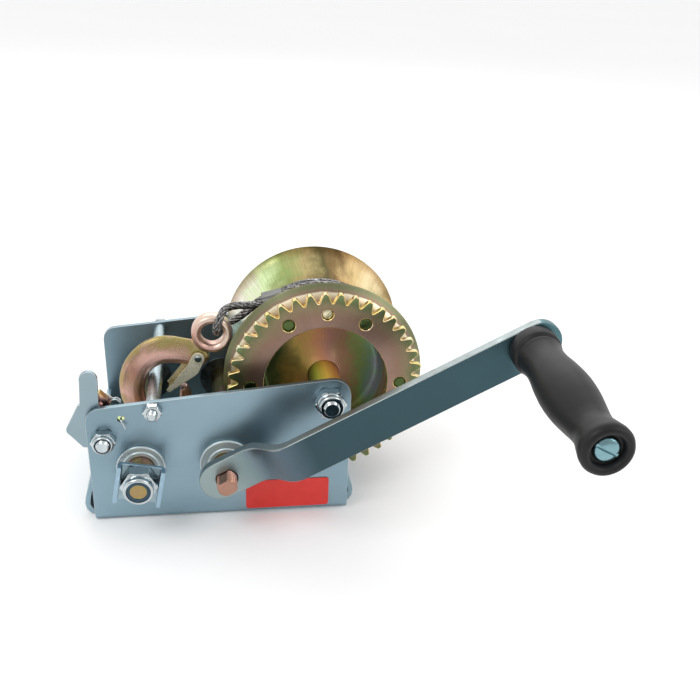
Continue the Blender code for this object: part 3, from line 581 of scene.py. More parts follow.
def black_plastic(name):
    material = two_tone(name, 0.0, (0.0055, 0.0055, 0.006), (0.009, 0.009, 0.0095), (0.40, 0.52),
                        (40.0, 4.0, 2.0), (1600.0,), (0.10, 0.04))
    material.node_tree.nodes["Principled BSDF"].inputs["Specular IOR Level"].default_value = 0.28
    return material


def wire_metal(name):
    """Galvanised wires: bright crowns with grease held between the strands."""
    tree = Surface(name, 1.0, 0.32)
    wires = tree.noise(700.0)
    colour = tree.ramp(wires, [(0.34, 0.05, 0.045, 0.045), (0.52, 0.20, 0.195, 0.19), (0.72, 0.46)])
    return tree.finish(colour, tree.spread(wires, 0.45, 0.25), wires, 0.3, 0.12)


# PLATE and LEVER carry painted shade that darkens them towards the top.
PLATE = zinc("plate_zinc", (0.25, 0.37, 0.43), (0.34, 0.48, 0.56), (0.28, 0.38), top=0.76)
BUSH = zinc("bushing_zinc", (0.40, 0.48, 0.50), (0.56, 0.66, 0.68), (0.26, 0.36), 3.0, 0.5)
LEVER = zinc("lever_zinc", (0.28, 0.37, 0.41), (0.40, 0.52, 0.58), (0.26, 0.38), 6.0, top=0.8)
ARM = arm_zinc("arm_zinc")
EDGE = wear_and_sheen_edge("worn_zinc", (0.50, 0.56, 0.57))
ARM_EDGE = wear_and_sheen_edge("worn_arm", (0.27, 0.31, 0.31))
# Painted reflection and highlight for the bracket's upward and downward faces and front edges.
BRACKET_PAINTED_SHEEN = wear_and_sheen_edge("bracket_painted_sheen", (0.32, 0.46, 0.56))
BRIGHT = bright_zinc("bright_zinc", (0.56, 0.62, 0.64), (0.10, 0.18))
NUT_GOLD = bright_zinc("nut_chromate", (0.72, 0.66, 0.46), (0.2, 0.32))
SCREW = bright_zinc("screw_zinc", (0.22, 0.38, 0.42), (0.16, 0.26))
FERRULE = bright_zinc("ferrule_zinc", (0.16, 0.16, 0.155), (0.32, 0.44))
TUBE = bright_zinc("tube_zinc", (0.40, 0.49, 0.52), (0.24, 0.34))
LATCH_GOLD = bright_zinc("latch_chromate", (0.90, 0.86, 0.68), (0.24, 0.34), 0.45)
LATCH_WEB = bright_zinc("latch_web_chromate", (0.56, 0.44, 0.16), (0.24, 0.34), 0.6)
FORGED = forged("forged_chromate")
BLACK = black_plastic("grip_plastic")
WIRE = wire_metal("wire_rope")
NYLON = two_tone("nylon", 0.0, (0.004, 0.030, 0.055), (0.008, 0.050, 0.085), (0.30, 0.43))
RED = two_tone("label_vinyl", 0.0, (0.66, 0.022, 0.016), (0.72, 0.034, 0.024), (0.33, 0.46))
DARK = two_tone("oiled_steel", 1.0, (0.05, 0.06, 0.065), (0.13, 0.15, 0.155), (0.3, 0.5), (200.0,), (200.0,),
                (0.1, 0.05))
PINKISH = chromate(
    "shaft_chromate",
    [(0.0, 0.24, 0.22, 0.06), (0.35, 0.36, 0.27, 0.11), (0.60, 0.38, 0.21, 0.15),
     (1.0, 0.46, 0.27, 0.23)],
    mottle=0.3, streak=0.2, rough=(0.20, 0.30), seed=20.0)
GEAR = chromate(
    "gear_chromate",
    [(0.0, 0.34, 0.22, 0.18), (0.40, 0.27, 0.17, 0.12), (0.62, 0.24, 0.19, 0.11),
     (0.78, 0.13, 0.16, 0.07), (1.0, 0.20, 0.27, 0.12)],
    "radius", (36.0, 62.0), mottle=0.16, streak=0.3, rough=(0.30, 0.40), seed=2.0, metallic=0.8)
# Painted highlight: pale gold and cream chromate colours for the gear ring's sides and the rim's cut edge,
# standing in for the light these edges catch.
PAINTED_EDGE_HIGHLIGHT = chromate(
    "edge_chromate_and_painted_highlight",
    [(0.0, 0.34, 0.47, 0.20), (0.45, 0.82, 0.62, 0.24), (0.75, 0.86, 0.68, 0.42),
     (1.0, 0.72, 0.84, 0.60)],
    rough=(0.20, 0.30), seed=5.0)
# Partly chromate colour and partly painted light: across the dish the dark green left end is painted shade and the
# gold middle a painted highlight; the pink, green and blue further right are the film's own colours.
DISH = chromate(
    "dish_chromate_and_painted_light",
    [(0.0, 0.06, 0.09, 0.03), (0.12, 0.13, 0.17, 0.05), (0.28, 0.62, 0.42, 0.10),
     (0.42, 0.66, 0.30, 0.14), (0.56, 0.46, 0.22, 0.17), (0.70, 0.42, 0.26, 0.14),
     (0.82, 0.28, 0.40, 0.13), (0.93, 0.22, 0.38, 0.24), (1.0, 0.30, 0.34, 0.38)],
    "across", (-36.0, 36.0), mottle=0.14, streak=0.45, rough=(0.34, 0.46), seed=8.0, metallic=0.45)
# Partly chromate colour and partly painted light: the pale green-white stops from 0.87 round to 0.0, on the
# flare's upper left, are painted highlight, and the bands are painted reflection, bright at mid radius and darker
# at the throat and the rim.
FLARE = chromate(
    "flare_chromate_and_painted_light",
    [(0.0, 0.62, 0.78, 0.60), (0.06, 0.20, 0.28, 0.16), (0.12, 0.50, 0.40, 0.20),
     (0.25, 0.60, 0.34, 0.30), (0.38, 0.42, 0.34, 0.14), (0.46, 0.66, 0.46, 0.24),
     (0.53, 0.80, 0.60, 0.26), (0.57, 0.46, 0.36, 0.16), (0.62, 1.0, 0.82, 0.50),
     (0.67, 0.84, 0.62, 0.30), (0.71, 0.30, 0.20, 0.09), (0.745, 0.16, 0.14, 0.06),
     (0.78, 0.56, 0.46, 0.22), (0.82, 0.34, 0.44, 0.16), (0.87, 0.72, 0.88, 0.50),
     (0.93, 0.86, 0.82, 0.76), (1.0, 0.62, 0.78, 0.60)],
    "around", mottle=0.05, streak=0.8, rough=(0.20, 0.30), seed=11.0, metallic=0.9,
    painted_light_bands=((41.0, 0.45, 0.42, 0.36), (45.0, 0.80, 0.70, 0.62), (49.0, 1.0, 1.0, 0.95),
           (54.0, 1.0, 0.98, 0.96), (57.0, 0.72, 0.62, 0.54), (59.0, 0.46, 0.40, 0.30)))
# Partly chromate colour and partly painted highlight: the cream ring at about 55 to 57 mm radius, seen through the
# gear's valleys, is a painted highlight; the browns and dark greens are the film's own colours.
RIM = chromate(
    "rim_chromate_and_painted_highlight",
    [(0.0, 0.40, 0.26, 0.15), (0.26, 0.66, 0.52, 0.34), (0.44, 0.86, 0.76, 0.56),
     (0.52, 0.26, 0.17, 0.12), (0.66, 0.23, 0.20, 0.12), (0.85, 0.17, 0.19, 0.10),
     (1.0, 0.24, 0.22, 0.12)],
    "radius", (53.0, RIM_END), mottle=0.10, streak=0.4, rough=(0.26, 0.36), seed=23.0, metallic=0.8)
RIVET = chromate(
    "rivet_chromate",
    [(0.0, 0.06, 0.09, 0.03), (1.0, 0.10, 0.14, 0.05)],
    seed=26.0)
# Partly chromate colour and partly painted light: across the tube the dark left side is painted shade and the
# bright gold middle a painted highlight.
AXLE = chromate(
    "axle_chromate_and_painted_light",
    [(0.0, 0.12, 0.14, 0.03), (0.22, 0.50, 0.52, 0.07), (0.50, 0.86, 0.58, 0.10),
     (0.75, 0.74, 0.32, 0.08), (1.0, 0.60, 0.26, 0.10)],
    "across", (-10.0, 10.0), mottle=0.06, streak=0.2, rough=(0.26, 0.36), seed=14.0, metallic=0.4)
CHROMATE = chromate(
    "part_chromate",
    [(0.0, 0.16, 0.19, 0.055), (0.3, 0.34, 0.47, 0.20), (0.55, 0.82, 0.62, 0.24),
     (0.8, 0.62, 0.33, 0.28), (1.0, 0.30, 0.17, 0.15)],
    seed=17.0)


def finish_cad(node, material, bevel=0.3, edge=None):
    """Keep a CAD node: its finish, merged flats and rounded edges."""
    obj = frame["nodes"][node]
    obj.data.materials.clear()
    obj.data.materials.append(material)
    obj.data.materials.append(edge or material)
    obj.data.shade_smooth()
    obj.modifiers.new("weld", "WELD").merge_threshold = 1e-5
    flats = obj.modifiers.new("flats", "DECIMATE")
    flats.decimate_type = "DISSOLVE"
    flats.angle_limit = math.radians(1.0)
    edges = obj.modifiers.new("edges", "BEVEL")
    edges.width = bevel * MM
    edges.segments = 2
    edges.angle_limit = math.radians(40)
    edges.material = 1
    obj.modifiers.new("flat faces", "WEIGHTED_NORMAL").keep_sharp = True


# ---- nuts, bolts and shafts

NUT_TURN = -0.03                            # radians that the hexagons are turned by
CORNER = 1.1547                             # corner radius of a hexagon over half its width
ACROSS_FLATS = {6: 10.0, 8: 13.0, 10: 17.0, 12: 19.0}      # by thread size
PITCH = {6: 1.0, 8: 1.25, 10: 1.5, 12: 1.75}


def hex_body(name, axis, profile, across):
    """Turned shape whose points beyond the hexagon's flats are trimmed to it."""
    def trim(radius, angle):
        a = (angle - NUT_TURN) % (math.pi / 3)
        return min(radius, across / 2 / math.cos(a - math.pi / 6))
    return turned(name, profile, axis, ROUND, trim)


def lock_nut(node, axis, size, ring_inside=1.06):
    """Chamfered hexagon, rolled collar and the nylon ring inside it; -Y is its free end."""
    across, bore = ACROSS_FLATS[size], size / 2 + GAP
    half, corner = across / 2, across / 2 * CORNER
    y_end, y_plate = span(node)
    height = y_plate - y_end
    y_hex = y_plate - height * 0.64
    base = shift([(0, bore), (0, half * 0.96), (-0.35, half * 0.97), (-0.7, corner * 0.985),
                  (-1.2, corner)], y_plate)
    neck = shift([(0.6, corner), (0.1, half * 1.02), (0, half * 0.95), (-0.3, half * 0.92)], y_hex)
    collar = shift([(1.4, half * 0.92), (0.7, half * 0.90), (0.2, half * 0.85), (0, half * 0.79),
                    (0.15, half * 0.74), (0.6, half * 0.72), (height * 0.2, half * 0.72),
                    (height * 0.24, bore)], y_end)
    add_piece(f"{node}_steel", hex_body(node, axis, base + neck + collar, across), [node], BRIGHT, 40)
    inside, seat = bore * ring_inside, height * 0.2
    ring = shift([(0.6, inside), (0.35, inside + 0.3), (0.35, half * 0.68), (0.5, half * 0.71),
                  (seat, half * 0.71), (seat, inside)], y_end)
    add_piece(f"{node}_ring_band", turned("ring", ring, axis, SMALL_ROUND), [f"{node}_ring"], NYLON)


def plain_nut(name, node, axis, size, bore, material):
    """Hexagon nut with chamfers on both ends."""
    across = ACROSS_FLATS[size]
    half, corner = across / 2, across / 2 * CORNER
    y0, y1 = span(node)
    profile = [(y0, bore), (y0, half * 0.93), (y0 + 0.25, half * 0.99), (y0 + 0.6, corner),
               (y1 - 0.6, corner), (y1 - 0.25, half * 0.99), (y1, half * 0.93), (y1, bore)]
    add_piece(name, hex_body(name, axis, profile, across), [node], material, 40)


def threaded(axis, y_end, y_start, radius, pitch, tail, flat=None, tilt=0.0):
    """Rod with a helical thread from y_end to y_start, then the tail's (y, radius) points.

    flat is half the width across two flats, which are turned by tilt."""
    rings = [[(axis[0], y_end, axis[1])]]
    per_turn, depth, chamfer = 8, 0.55 * pitch, 0.9
    count = max(2, round((y_start - y_end) / pitch * per_turn))
    levels = [(y_end + (y_start - y_end) * i / count, None) for i in range(count + 1)] + tail
    for y, plain in levels:
        ring = []
        for i in range(SMALL_ROUND):
            phase = (y / pitch - i / SMALL_ROUND) % 1.0
            thread = min(radius - depth * (1 - abs(2 * phase - 1)), radius - chamfer + y - y_end)
            x, z = polar(axis, plain or thread, 2 * math.pi * i / SMALL_ROUND)
            if flat and not plain:
                z = axis[1] + max(-flat, min(flat, z - axis[1]))
            ring.append((x, z))
        rings.append([(x, y, z) for x, z in rotate(ring, axis, tilt)])
    rings.append([(axis[0], levels[-1][0], axis[1])])
    return build_mesh("threaded", *loft(rings))


FLAT_HALF = 4.6
THREAD_RADIUS = 6.0
SHAFT_RADIUS = 8.0
BORE = 8.05                                 # radius inside the bushings


def make_shafts():
    shoulder = NEAR - 12.0
    for node, axis, tilt in (("crank_shaft", CRANK, CRANK_ANGLE), ("low_speed_shaft", LOW, BRACKET_TILT)):
        y_end, y_far = span(node)
        tail = [(shoulder, SHAFT_RADIUS - 0.4), (shoulder + 0.4, SHAFT_RADIUS), (y_far - 0.8, SHAFT_RADIUS),
                (y_far, SHAFT_RADIUS - 0.8)]
        mesh = threaded(axis, y_end, shoulder - 0.2, THREAD_RADIUS, PITCH[12], tail, FLAT_HALF, tilt)
        add_piece(f"{node}_bar", mesh, [node], PINKISH, 30, flat_weight=False)
    for node, axis in (("crank_circlip", CRANK), ("low_speed_circlip", LOW)):
        tube_piece(f"{node}_ring", node, axis, 8.4, 11.0, DARK, 0.3)


def make_bushings():
    for name, axis, flange in (("crank", CRANK, 16.0), ("low", LOW, 14.5)):
        y0, y1 = span(f"{name}_bushing_near")
        lip = [(y0, 10.4), (y0 + 0.7, 10.9), (y0 + 0.7, flange - 1.6), (y0 + 0.2, flange - 0.9),
               (y0 + 0.7, flange)]
        near = [(y1, BORE), (y0, BORE)] + lip + [(NEAR - GAP, flange), (NEAR - GAP, 9.9), (y1, 9.9)]
        near = turned("near", soften(near, 0.5), axis)
        add_piece(f"{name}_flange_near", near, [f"{name}_bushing_near"], BUSH)
        y0, y1 = span(f"{name}_bushing_far")
        far = [(y1, BORE), (y0, BORE), (y0, flange), (FAR_IN - GAP, flange), (FAR_IN - GAP, 9.9), (y1, 9.9)]
        far = turned("far", soften(far, 0.4), axis)
        add_piece(f"{name}_flange_far", far, [f"{name}_bushing_far"], DARK)


def bolt(node, axis, size):
    """Bolt through both plates: threaded end on the crank side, hexagon head outside the far plate."""
    radius, across = size / 2, ACROSS_FLATS[size]
    half, corner = across / 2, across / 2 * CORNER
    y_end, y1 = span(node)
    y0 = FAR + GAP
    tail = [(y_end + 14.4, radius), (y0 + 0.5, radius)]
    shank = threaded(axis, y_end, y_end + 14.0, radius, PITCH[size], tail)
    head = [(y0, 0), (y0, half * 0.93), (y0 + 0.2, corner), (y1 - 0.9, corner), (y1 - 0.3, half * 0.97),
            (y1, half * 0.86), (y1, 0)]
    mesh = join_meshes(node, [shank, hex_body(node, axis, head, across)])
    add_piece(f"{node}_steel", mesh, [node], BRIGHT, 36, flat_weight=False)


def make_fasteners():
    bolt("drum_axle_bolt", DRUM, 10)
    lock_nut("drum_axle_nut", DRUM, 10)
    lock_nut("low_speed_nut", LOW, 12, ring_inside=0.77)
    lock_nut("pawl_nut", PAWL, 8)
    bolt("tie_bolt", TIE, 6)
    plain_nut("tie_nut_steel", "tie_nut", TIE, 6, 3.2, BRIGHT)
    tube_piece("spacer_tube_zinc", "spacer_tube", TIE, 3.4, 4.2, TUBE, 0.2)
    tube_piece("axle_tube_gold", "axle_tube", DRUM, 5.5, 9.7, AXLE, sides=ROUND)
    y0, y1 = span("pawl_bolt")
    tail = [(y0 + 9.4, 4.0)] + shift([(-2.1, 4.0), (-2.1, 4.8), (-1.8, 5.2), (-0.8, 5.1), (-0.1, 3.2)], y1)
    pawl_bolt = threaded(PAWL, y0, y0 + 9.0, 4.0, PITCH[8], tail)
    add_piece("pawl_bolt_steel", pawl_bolt, ["pawl_bolt"], BRIGHT, 36, False)
    plain_nut("grip_nut_gold", "grip_nut", GRIP, 8, 4.1, NUT_GOLD)


# ---- drum

RIVET_CIRCLE = 46.3
GEAR_BORE = 38.2
GEAR_TEETH = 40
GEAR_ROOT, GEAR_TIP = 54.0, 60.2


def gear_ring_outline(first):
    """Pressed ring's outline: broad flat-topped teeth with round roots, between narrow valleys."""
    flank = [(-0.50, GEAR_ROOT), (-0.44, GEAR_ROOT + 0.3), (-0.38, GEAR_ROOT + 1.3), (-0.30, GEAR_ROOT + 2.9),
             (-0.21, GEAR_TIP - 1.5), (-0.15, GEAR_TIP - 0.4), (-0.06, GEAR_TIP)]
    tooth = flank + [(-share, radius) for share, radius in flank[:0:-1]]
    pitch = 360 / GEAR_TEETH
    return [polar(DRUM, radius, math.radians(first + (k + share) * pitch))
            for k in range(GEAR_TEETH) for share, radius in tooth]


def sheet_profile(path, thickness):
    """Close a (y, radius) line into a sheet of even thickness with rounded ends."""
    other = []
    for i, point in enumerate(path):
        along = (Vector(path[min(i + 1, len(path) - 1)]) - Vector(path[max(i - 1, 0)])).normalized()
        other.append((point[0] - along.y * thickness, point[1] + along.x * thickness))
    return path + other[::-1]


def pressed_half(side, profile, per_span, thickness, finish):
    """Half of the drum, from (distance behind the near plate's face, radius) points."""
    path = shift(smooth_line(profile, per_span), NEAR)
    mesh = turned(side, sheet_profile(path, thickness), DRUM, 160)
    return add_piece(f"drum_{side}_half_sheet", mesh, [f"drum_{side}_half"], finish, 50, False)


def make_drum():
    y0, y1 = span("drum_gear")
    mesh_angle = math.degrees(math.atan2(DRUM[1] - CRANK[1], DRUM[0] - CRANK[0]))
    outline = gear_ring_outline(mesh_angle + 180 + 180 / GEAR_TEETH)
    spots = circle(DRUM, RIVET_CIRCLE, 6)
    anchor = middle("cable_anchor_screw")
    holes = [circle(DRUM, GEAR_BORE, ROUND)] + [circle(spot, 3.8) for spot in spots] + [circle(anchor, 3.4)]
    gear = slab("gear_ring", [outline] + holes, y0, y1, 0.75, 3)
    # The gear ring's sides take the painted edge highlight.
    paint_sides(add_piece("gear_ring", gear, ["drum_gear"], [GEAR, PAINTED_EDGE_HIGHLIGHT], 50))

    # Near half: cone-shaped rim, flat that carries the gear, dished wall and domed bottom
    rim = [(33.4, 62.2), (31.6, 59.6), (28.8, 55.4), (26.4, 51.6), (24.9, 48.6), (24.65, 46.0), (24.65, 42.0)]
    wall = [(24.8, 39.9), (25.6, 38.7), (27.6, 38.1), (34.0, 37.9), (42.4, 37.5), (44.6, 36.4), (45.2, 33.6)]
    bottom = [(43.6, 27.0), (40.4, 20.0), (37.0, 14.4), (34.8, 11.4), (34.0, 10.2)]
    near_half = pressed_half("near", rim + wall + bottom, 4, 1.6, [DISH, RIM, PAINTED_EDGE_HIGHLIGHT])

    # Dish finish inside the bore, rim finish out to RIM_END, and the painted edge highlight on the cut edge
    # beyond.
    def near_finish(polygon):
        reach = math.dist((polygon.center.x / MM, polygon.center.z / MM), DRUM)
        return 0 if reach < GEAR_BORE - 0.4 else 2 if reach > RIM_END else 1
    paint(near_half, near_finish)

    flare = [(49.6, 10.4), (49.6, 20.0), (49.6, 36.0), (50.4, 39.2), (54.0, 40.5), (66.0, 41.5), (80.0, 44.6),
             (92.0, 49.2), (101.0, 54.4), (105.4, 57.6), (107.3, 58.9)]
    pressed_half("far", flare, 5, -1.6, FLARE)

    for k, spot in enumerate(spots):
        profile = [(0.5, 0), (0.5, 2.6), (0.6, 3.1), (1.0, 3.5), (2.4, 3.5), (2.4, 0)]
        rivet = turned("rivet", shift(profile, y0), spot, TINY_ROUND)
        add_piece(f"rivet_{k + 1}", rivet, [f"gear_rivet_{k + 1}"], RIVET)
    make_anchor(anchor, y0)
    tube_piece("hub_tube", "drum_hub", DRUM, 9.85, 13.2, CHROMATE)


def slotted(screw, axis, halves, angle, y_face, depth):
    """Cut a slot across a screw's head; halves are half its length and half its width."""
    (x, z), (u, v) = axis, halves
    outline = rotate([(x - u, z - v), (x + u, z - v), (x + u, z + v), (x - u, z + v)], axis, angle)
    return cut_mesh(screw, slab("slot", [outline], y_face - 2, y_face + depth, 0.05, 0))


def make_anchor(anchor, y_face):
    """Slotted clamp screw for the cable's end, down in its hole."""
    head = shift([(0.9, 0), (0.9, 2.2), (1.3, 2.9), (2.6, 2.9), (2.6, 0)], y_face)
    screw = slotted(turned("anchor", head, anchor, TINY_ROUND), anchor, (4.0, 0.45), 50, y_face, 1.7)
    add_piece("anchor_screw", screw, ["cable_anchor_screw"], NUT_GOLD, 40)


# ---- cable and hook

FERRULE_SPREAD = 3.0                        # from the ferrule's middle to each of its two bores
TURN_PITCH = 4.9
PER_TURN = 64                               # points of the cable's path in each turn


def make_pack():
    """Wound cable: a spiral of rope over a core of the same shape."""
    layers = [(34.7, 51.6, 46.9), (57.6, 64.2, 50.6), (70.4, 77.6, 47.2)]
    line = []
    for y0, y1, radius in layers:
        steps = max(1, round((y1 - y0) / TURN_PITCH)) * PER_TURN
        for i in range(steps + 1):
            x, z = polar(DRUM, radius, 2 * math.pi * i / PER_TURN)
            line.append(Vector((x, NEAR + y0 + (y1 - y0) * i / steps, z)))
    core = [(32.6, 41.8), (32.6, 46.8), (54.0, 46.8), (55.4, 50.4), (66.4, 50.4), (68.0, 47.0), (79.6, 47.0),
            (79.6, 45.8), (66.0, 42.5), (56.0, 41.8)]
    core_mesh = turned("core", shift(core, NEAR), DRUM)
    mesh = join_meshes("pack", [rope("turns", line, 5, 2.4), core_mesh])
    add_piece("cable_turns", mesh, ["cable_pack"], WIRE, 60, False)


def make_lead():
    """From the drum to the hook's eye, round the loop and back into the ferrule."""
    low, high = box("ferrule")
    fx, fy, fz = (low + high) / 2
    standing, back = fy - FERRULE_SPREAD, fy + FERRULE_SPREAD
    route = [(57.0, standing, 130.3), (48.0, standing, 129.0), (40.8, standing, 126.7),
             (27.2, standing, 123.3), (19.0, standing + 0.1, 122.2), (11.0, NEAR + 42.6, 122.6),
             (5.0, NEAR + 38.6, 122.4),
             (1.8, NEAR + 33.6, 119.6), (0.2, NEAR + 32.6, 114.6), (-0.6, NEAR + 33.8, 110.4),
             (-0.8, NEAR + 38.0, 107.8), (-0.6, NEAR + 43.0, 107.0), (-0.6, NEAR + 48.4, 107.0),
             (2.4, NEAR + 52.0, 106.8), (8.5, NEAR + 53.2, 107.8), (15.0, NEAR + 52.6, 112.0),
             (21.5, back + 0.6, 118.4), (27.2, back, 123.3), (40.8, back, 126.7), (44.6, back, 127.6)]
    lead = rope("lead", smooth_line(route, 8), 8, 1.2)
    add_piece("cable_to_hook", lead, ["cable_lead"], WIRE, 60, False)
    half, lobe = 6.5, 4.2
    outline = arc((-FERRULE_SPREAD, 0), lobe, 90, 270, 14) + arc((FERRULE_SPREAD, 0), lobe, -90, 90, 14)
    sleeve = slab("sleeve", [outline], -half, half, 0.6)
    rise = math.atan2(3.4, 13.6)
    tilt = Matrix.Rotation(-rise, 4, "Y") @ Matrix.Rotation(math.pi / 2, 4, "Z")
    sleeve.transform(Matrix.Translation(Vector((fx, fy, fz)) * MM) @ tilt)
    add_piece("pressed_sleeve", sleeve, ["ferrule"], FERRULE)


HOOK_EYE = (-3.6, 106.0)
# Outer and inner edge of the hook's body, from the neck round the bowl to the point
HOOK_PAIRS = [
    ((-9.6, 101.4), (-5.2, 89.0)), ((-14.4, 101.2), (-10.4, 84.6)), ((-20.6, 102.4), (-17.4, 84.9)),
    ((-28.0, 104.0), (-25.0, 86.2)), ((-36.0, 104.0), (-33.0, 86.4)), ((-44.0, 101.0), (-38.6, 83.8)),
    ((-51.0, 95.6), (-42.6, 79.6)), ((-56.8, 88.0), (-44.8, 74.4)), ((-60.4, 78.6), (-46.0, 68.6)),
    ((-61.2, 69.0), (-45.8, 63.6)), ((-59.8, 59.8), (-44.2, 58.2)), ((-55.6, 52.0), (-41.2, 55.0)),
    ((-48.0, 46.8), (-37.6, 53.8)), ((-38.0, 45.4), (-34.0, 53.7)), ((-28.0, 47.0), (-30.4, 54.8)),
    ((-20.8, 52.0), (-27.4, 57.2)), ((-17.4, 59.0), (-25.6, 60.6)), ((-17.8, 66.0), (-24.8, 65.0)),
    ((-20.4, 70.6), (-24.2, 68.8))]


def make_hook():
    """Forging: a body with a broad outer bevel and a raised inner ridge, grown into a round eye."""
    y0, y1 = span("hook")
    mid, half = (y0 + y1) / 2, (y1 - y0) / 2
    # Cross-section as (place from the outer edge to the inner one, share of the half thickness)
    section = [(0.0, 0.0), (0.03, 0.30), (0.14, 0.55), (0.34, 0.74), (0.58, 0.93), (0.78, 1.0), (0.92, 0.80),
               (0.985, 0.42), (1.0, 0.0)]
    section += [(share, -height) for share, height in section[-2:0:-1]]
    rings = []
    for outer, inner in zip(*(smooth_line(edge, 4) for edge in zip(*HOOK_PAIRS))):
        spots = [(outer.lerp(inner, share), height) for share, height in section]
        rings.append([(spot.x, mid - height * half * 0.96, spot.y) for spot, height in spots])
    body = build_mesh("hook_body", *loft(rings))
    eye = [(-0.72, 7.4), (-0.92, 8.6), (-1.0, 9.8), (-0.86, 11.4), (-0.5, 12.4), (0.0, 12.6), (0.5, 12.4),
           (0.86, 11.4), (1.0, 9.8), (0.92, 8.6), (0.5, 6.9), (0.0, 6.6), (-0.5, 6.9)]
    eye_mesh = turned("eye", [(mid + y * (half + 0.3), r) for y, r in eye], HOOK_EYE)
    add_piece("hook_forging", grown("forging", [body, eye_mesh], 0.42, 6), ["hook"], FORGED, 80, False)
    y0, y1 = span("latch_pin")
    head = [(0.0, 0), (0.0, 0.8), (0.15, 2.0), (0.9, 2.3), (1.0, 1.5)]
    profile = shift(head, y0) + shift([(-y, r) for y, r in head[::-1]], y1)
    add_piece("latch_rivet", turned("rivet", profile, LATCH, TINY_ROUND), ["latch_pin"], BRIGHT, 40)


def grown(name, meshes, voxel, rounds):
    """One smooth skin round several meshes."""
    mesh = join_meshes(name, meshes)
    face_outwards(mesh)
    obj = add_object(name, mesh)
    remesh = obj.modifiers.new("skin", "REMESH")
    remesh.mode = "VOXEL"
    remesh.voxel_size = voxel * MM
    smooth = obj.modifiers.new("smooth", "SMOOTH")
    smooth.factor = 0.5
    smooth.iterations = rounds
    return baked(obj)


def make_latch():
    """Folded sheet: two tapered cheeks beside the hook, and the web that joins their lower sides."""
    y0, y1 = span("latch")
    sheet, reach, tilt = 1.2, 29.0, 48.0

    def placed(points):
        return rotate([(LATCH[0] + x, LATCH[1] + z) for x, z in points], LATCH, tilt)
    knuckle = arc((0.0, 0.0), 3.9, -80, 100, 12)
    cheek = [(-reach, 0.6), (-reach - 0.5, -0.6), (-reach, -1.8), (-19.0, -4.1), (-9.4, -6.4), (-7.6, -6.5),
             (-3.4, -5.2)] + knuckle + [(-3.8, 3.1), (-8.0, 1.6)]
    hole = circle(LATCH, 1.6, 24)
    cheeks = [slab("cheek", [placed(cheek), hole], a, a + sheet, 0.18, 1) for a in (y0, y1 - sheet)]
    web = [(-reach, -0.7), (-reach, -1.8), (-19.0, -4.1), (-9.4, -6.4), (-9.2, -5.2), (-19.0, -3.0)]
    web_mesh = slab("web", [placed(web)], y0 + 0.2, y1 - 0.2, 0.18, 1)
    latch = join_meshes("latch", cheeks + [web_mesh])
    paint_sides(add_piece("latch_sheet_metal", latch, ["latch"], [LATCH_GOLD, LATCH_WEB], 40), 0.5)


# ---- crank, bracket, pawl and label

BAR_WIDTH, BAR_THICK = 25.0, 6.0
PAST_HUB, PAST_GRIP = 4.0, 5.0              # how far the round ends' centres lie past the axes
BEND_START, BEND_END = 19.0, 41.0


def along_arm(distance, across):
    spot = distance * ALONG_ARM + across * ACROSS_ARM
    return CRANK[0] + spot.x, CRANK[1] + spot.z


def double_d(centre, radius, half, angle):
    """Outline of a round hole with two flats."""
    edge = math.degrees(math.asin(half / radius))
    points = arc(centre, radius, -edge, edge, 12) + arc(centre, radius, 180 - edge, 180 + edge, 12)
    return rotate(points, centre, angle)


def make_crank_arm():
    """Flat bar cut to its outline, then bent out between the two ends of the joggle."""
    y_out, y_in = span("crank_arm")
    y_flat = y_in - BAR_THICK
    half = BAR_WIDTH / 2
    turn = [math.pi * i / 24 for i in range(25)]
    start = [along_arm(-PAST_HUB - half * math.sin(t), half * math.cos(t)) for t in turn]
    end = [along_arm(CRANK_REACH + PAST_GRIP + half * math.sin(t), -half * math.cos(t)) for t in turn]
    slot = double_d(CRANK, THREAD_RADIUS + GAP, FLAT_HALF + GAP, CRANK_ANGLE)
    mesh = slab("arm", [start + end, slot, circle(GRIP, 4.2)], y_flat, y_in, 0.7)
    origin = Vector((CRANK[0], 0, CRANK[1])) * MM
    shape = bmesh.new()
    shape.from_mesh(mesh)
    first, last, cuts = BEND_START - 6, BEND_END + 8, 30
    for k in range(cuts + 1):
        at = origin + ALONG_ARM * (first + (last - first) * k / cuts) * MM
        everything = list(shape.verts) + list(shape.edges) + list(shape.faces)
        bmesh.ops.bisect_plane(shape, geom=everything, plane_co=at, plane_no=ALONG_ARM, dist=1e-7)
    for vert in shape.verts:
        lag = 1.6 * (vert.co.y / MM - y_flat) / BAR_THICK
        distance = (vert.co - origin).dot(ALONG_ARM) / MM - lag
        t = max(0.0, min(1.0, (distance - BEND_START + 3) / (BEND_END - BEND_START + 6)))
        vert.co.y += (y_out - y_flat) * (t - 0.75 * math.sin(2 * math.pi * t) / (2 * math.pi)) * MM
    shape.to_mesh(mesh)
    shape.free()

    def finish(polygon):
        inside = abs((polygon.center - origin).dot(ACROSS_ARM)) < half * MM * 0.93
        return int(not inside and abs(polygon.normal.y) < 0.93)
    paint(add_piece("crank_bar", mesh, ["crank_arm"], [ARM, ARM_EDGE], 40), finish)


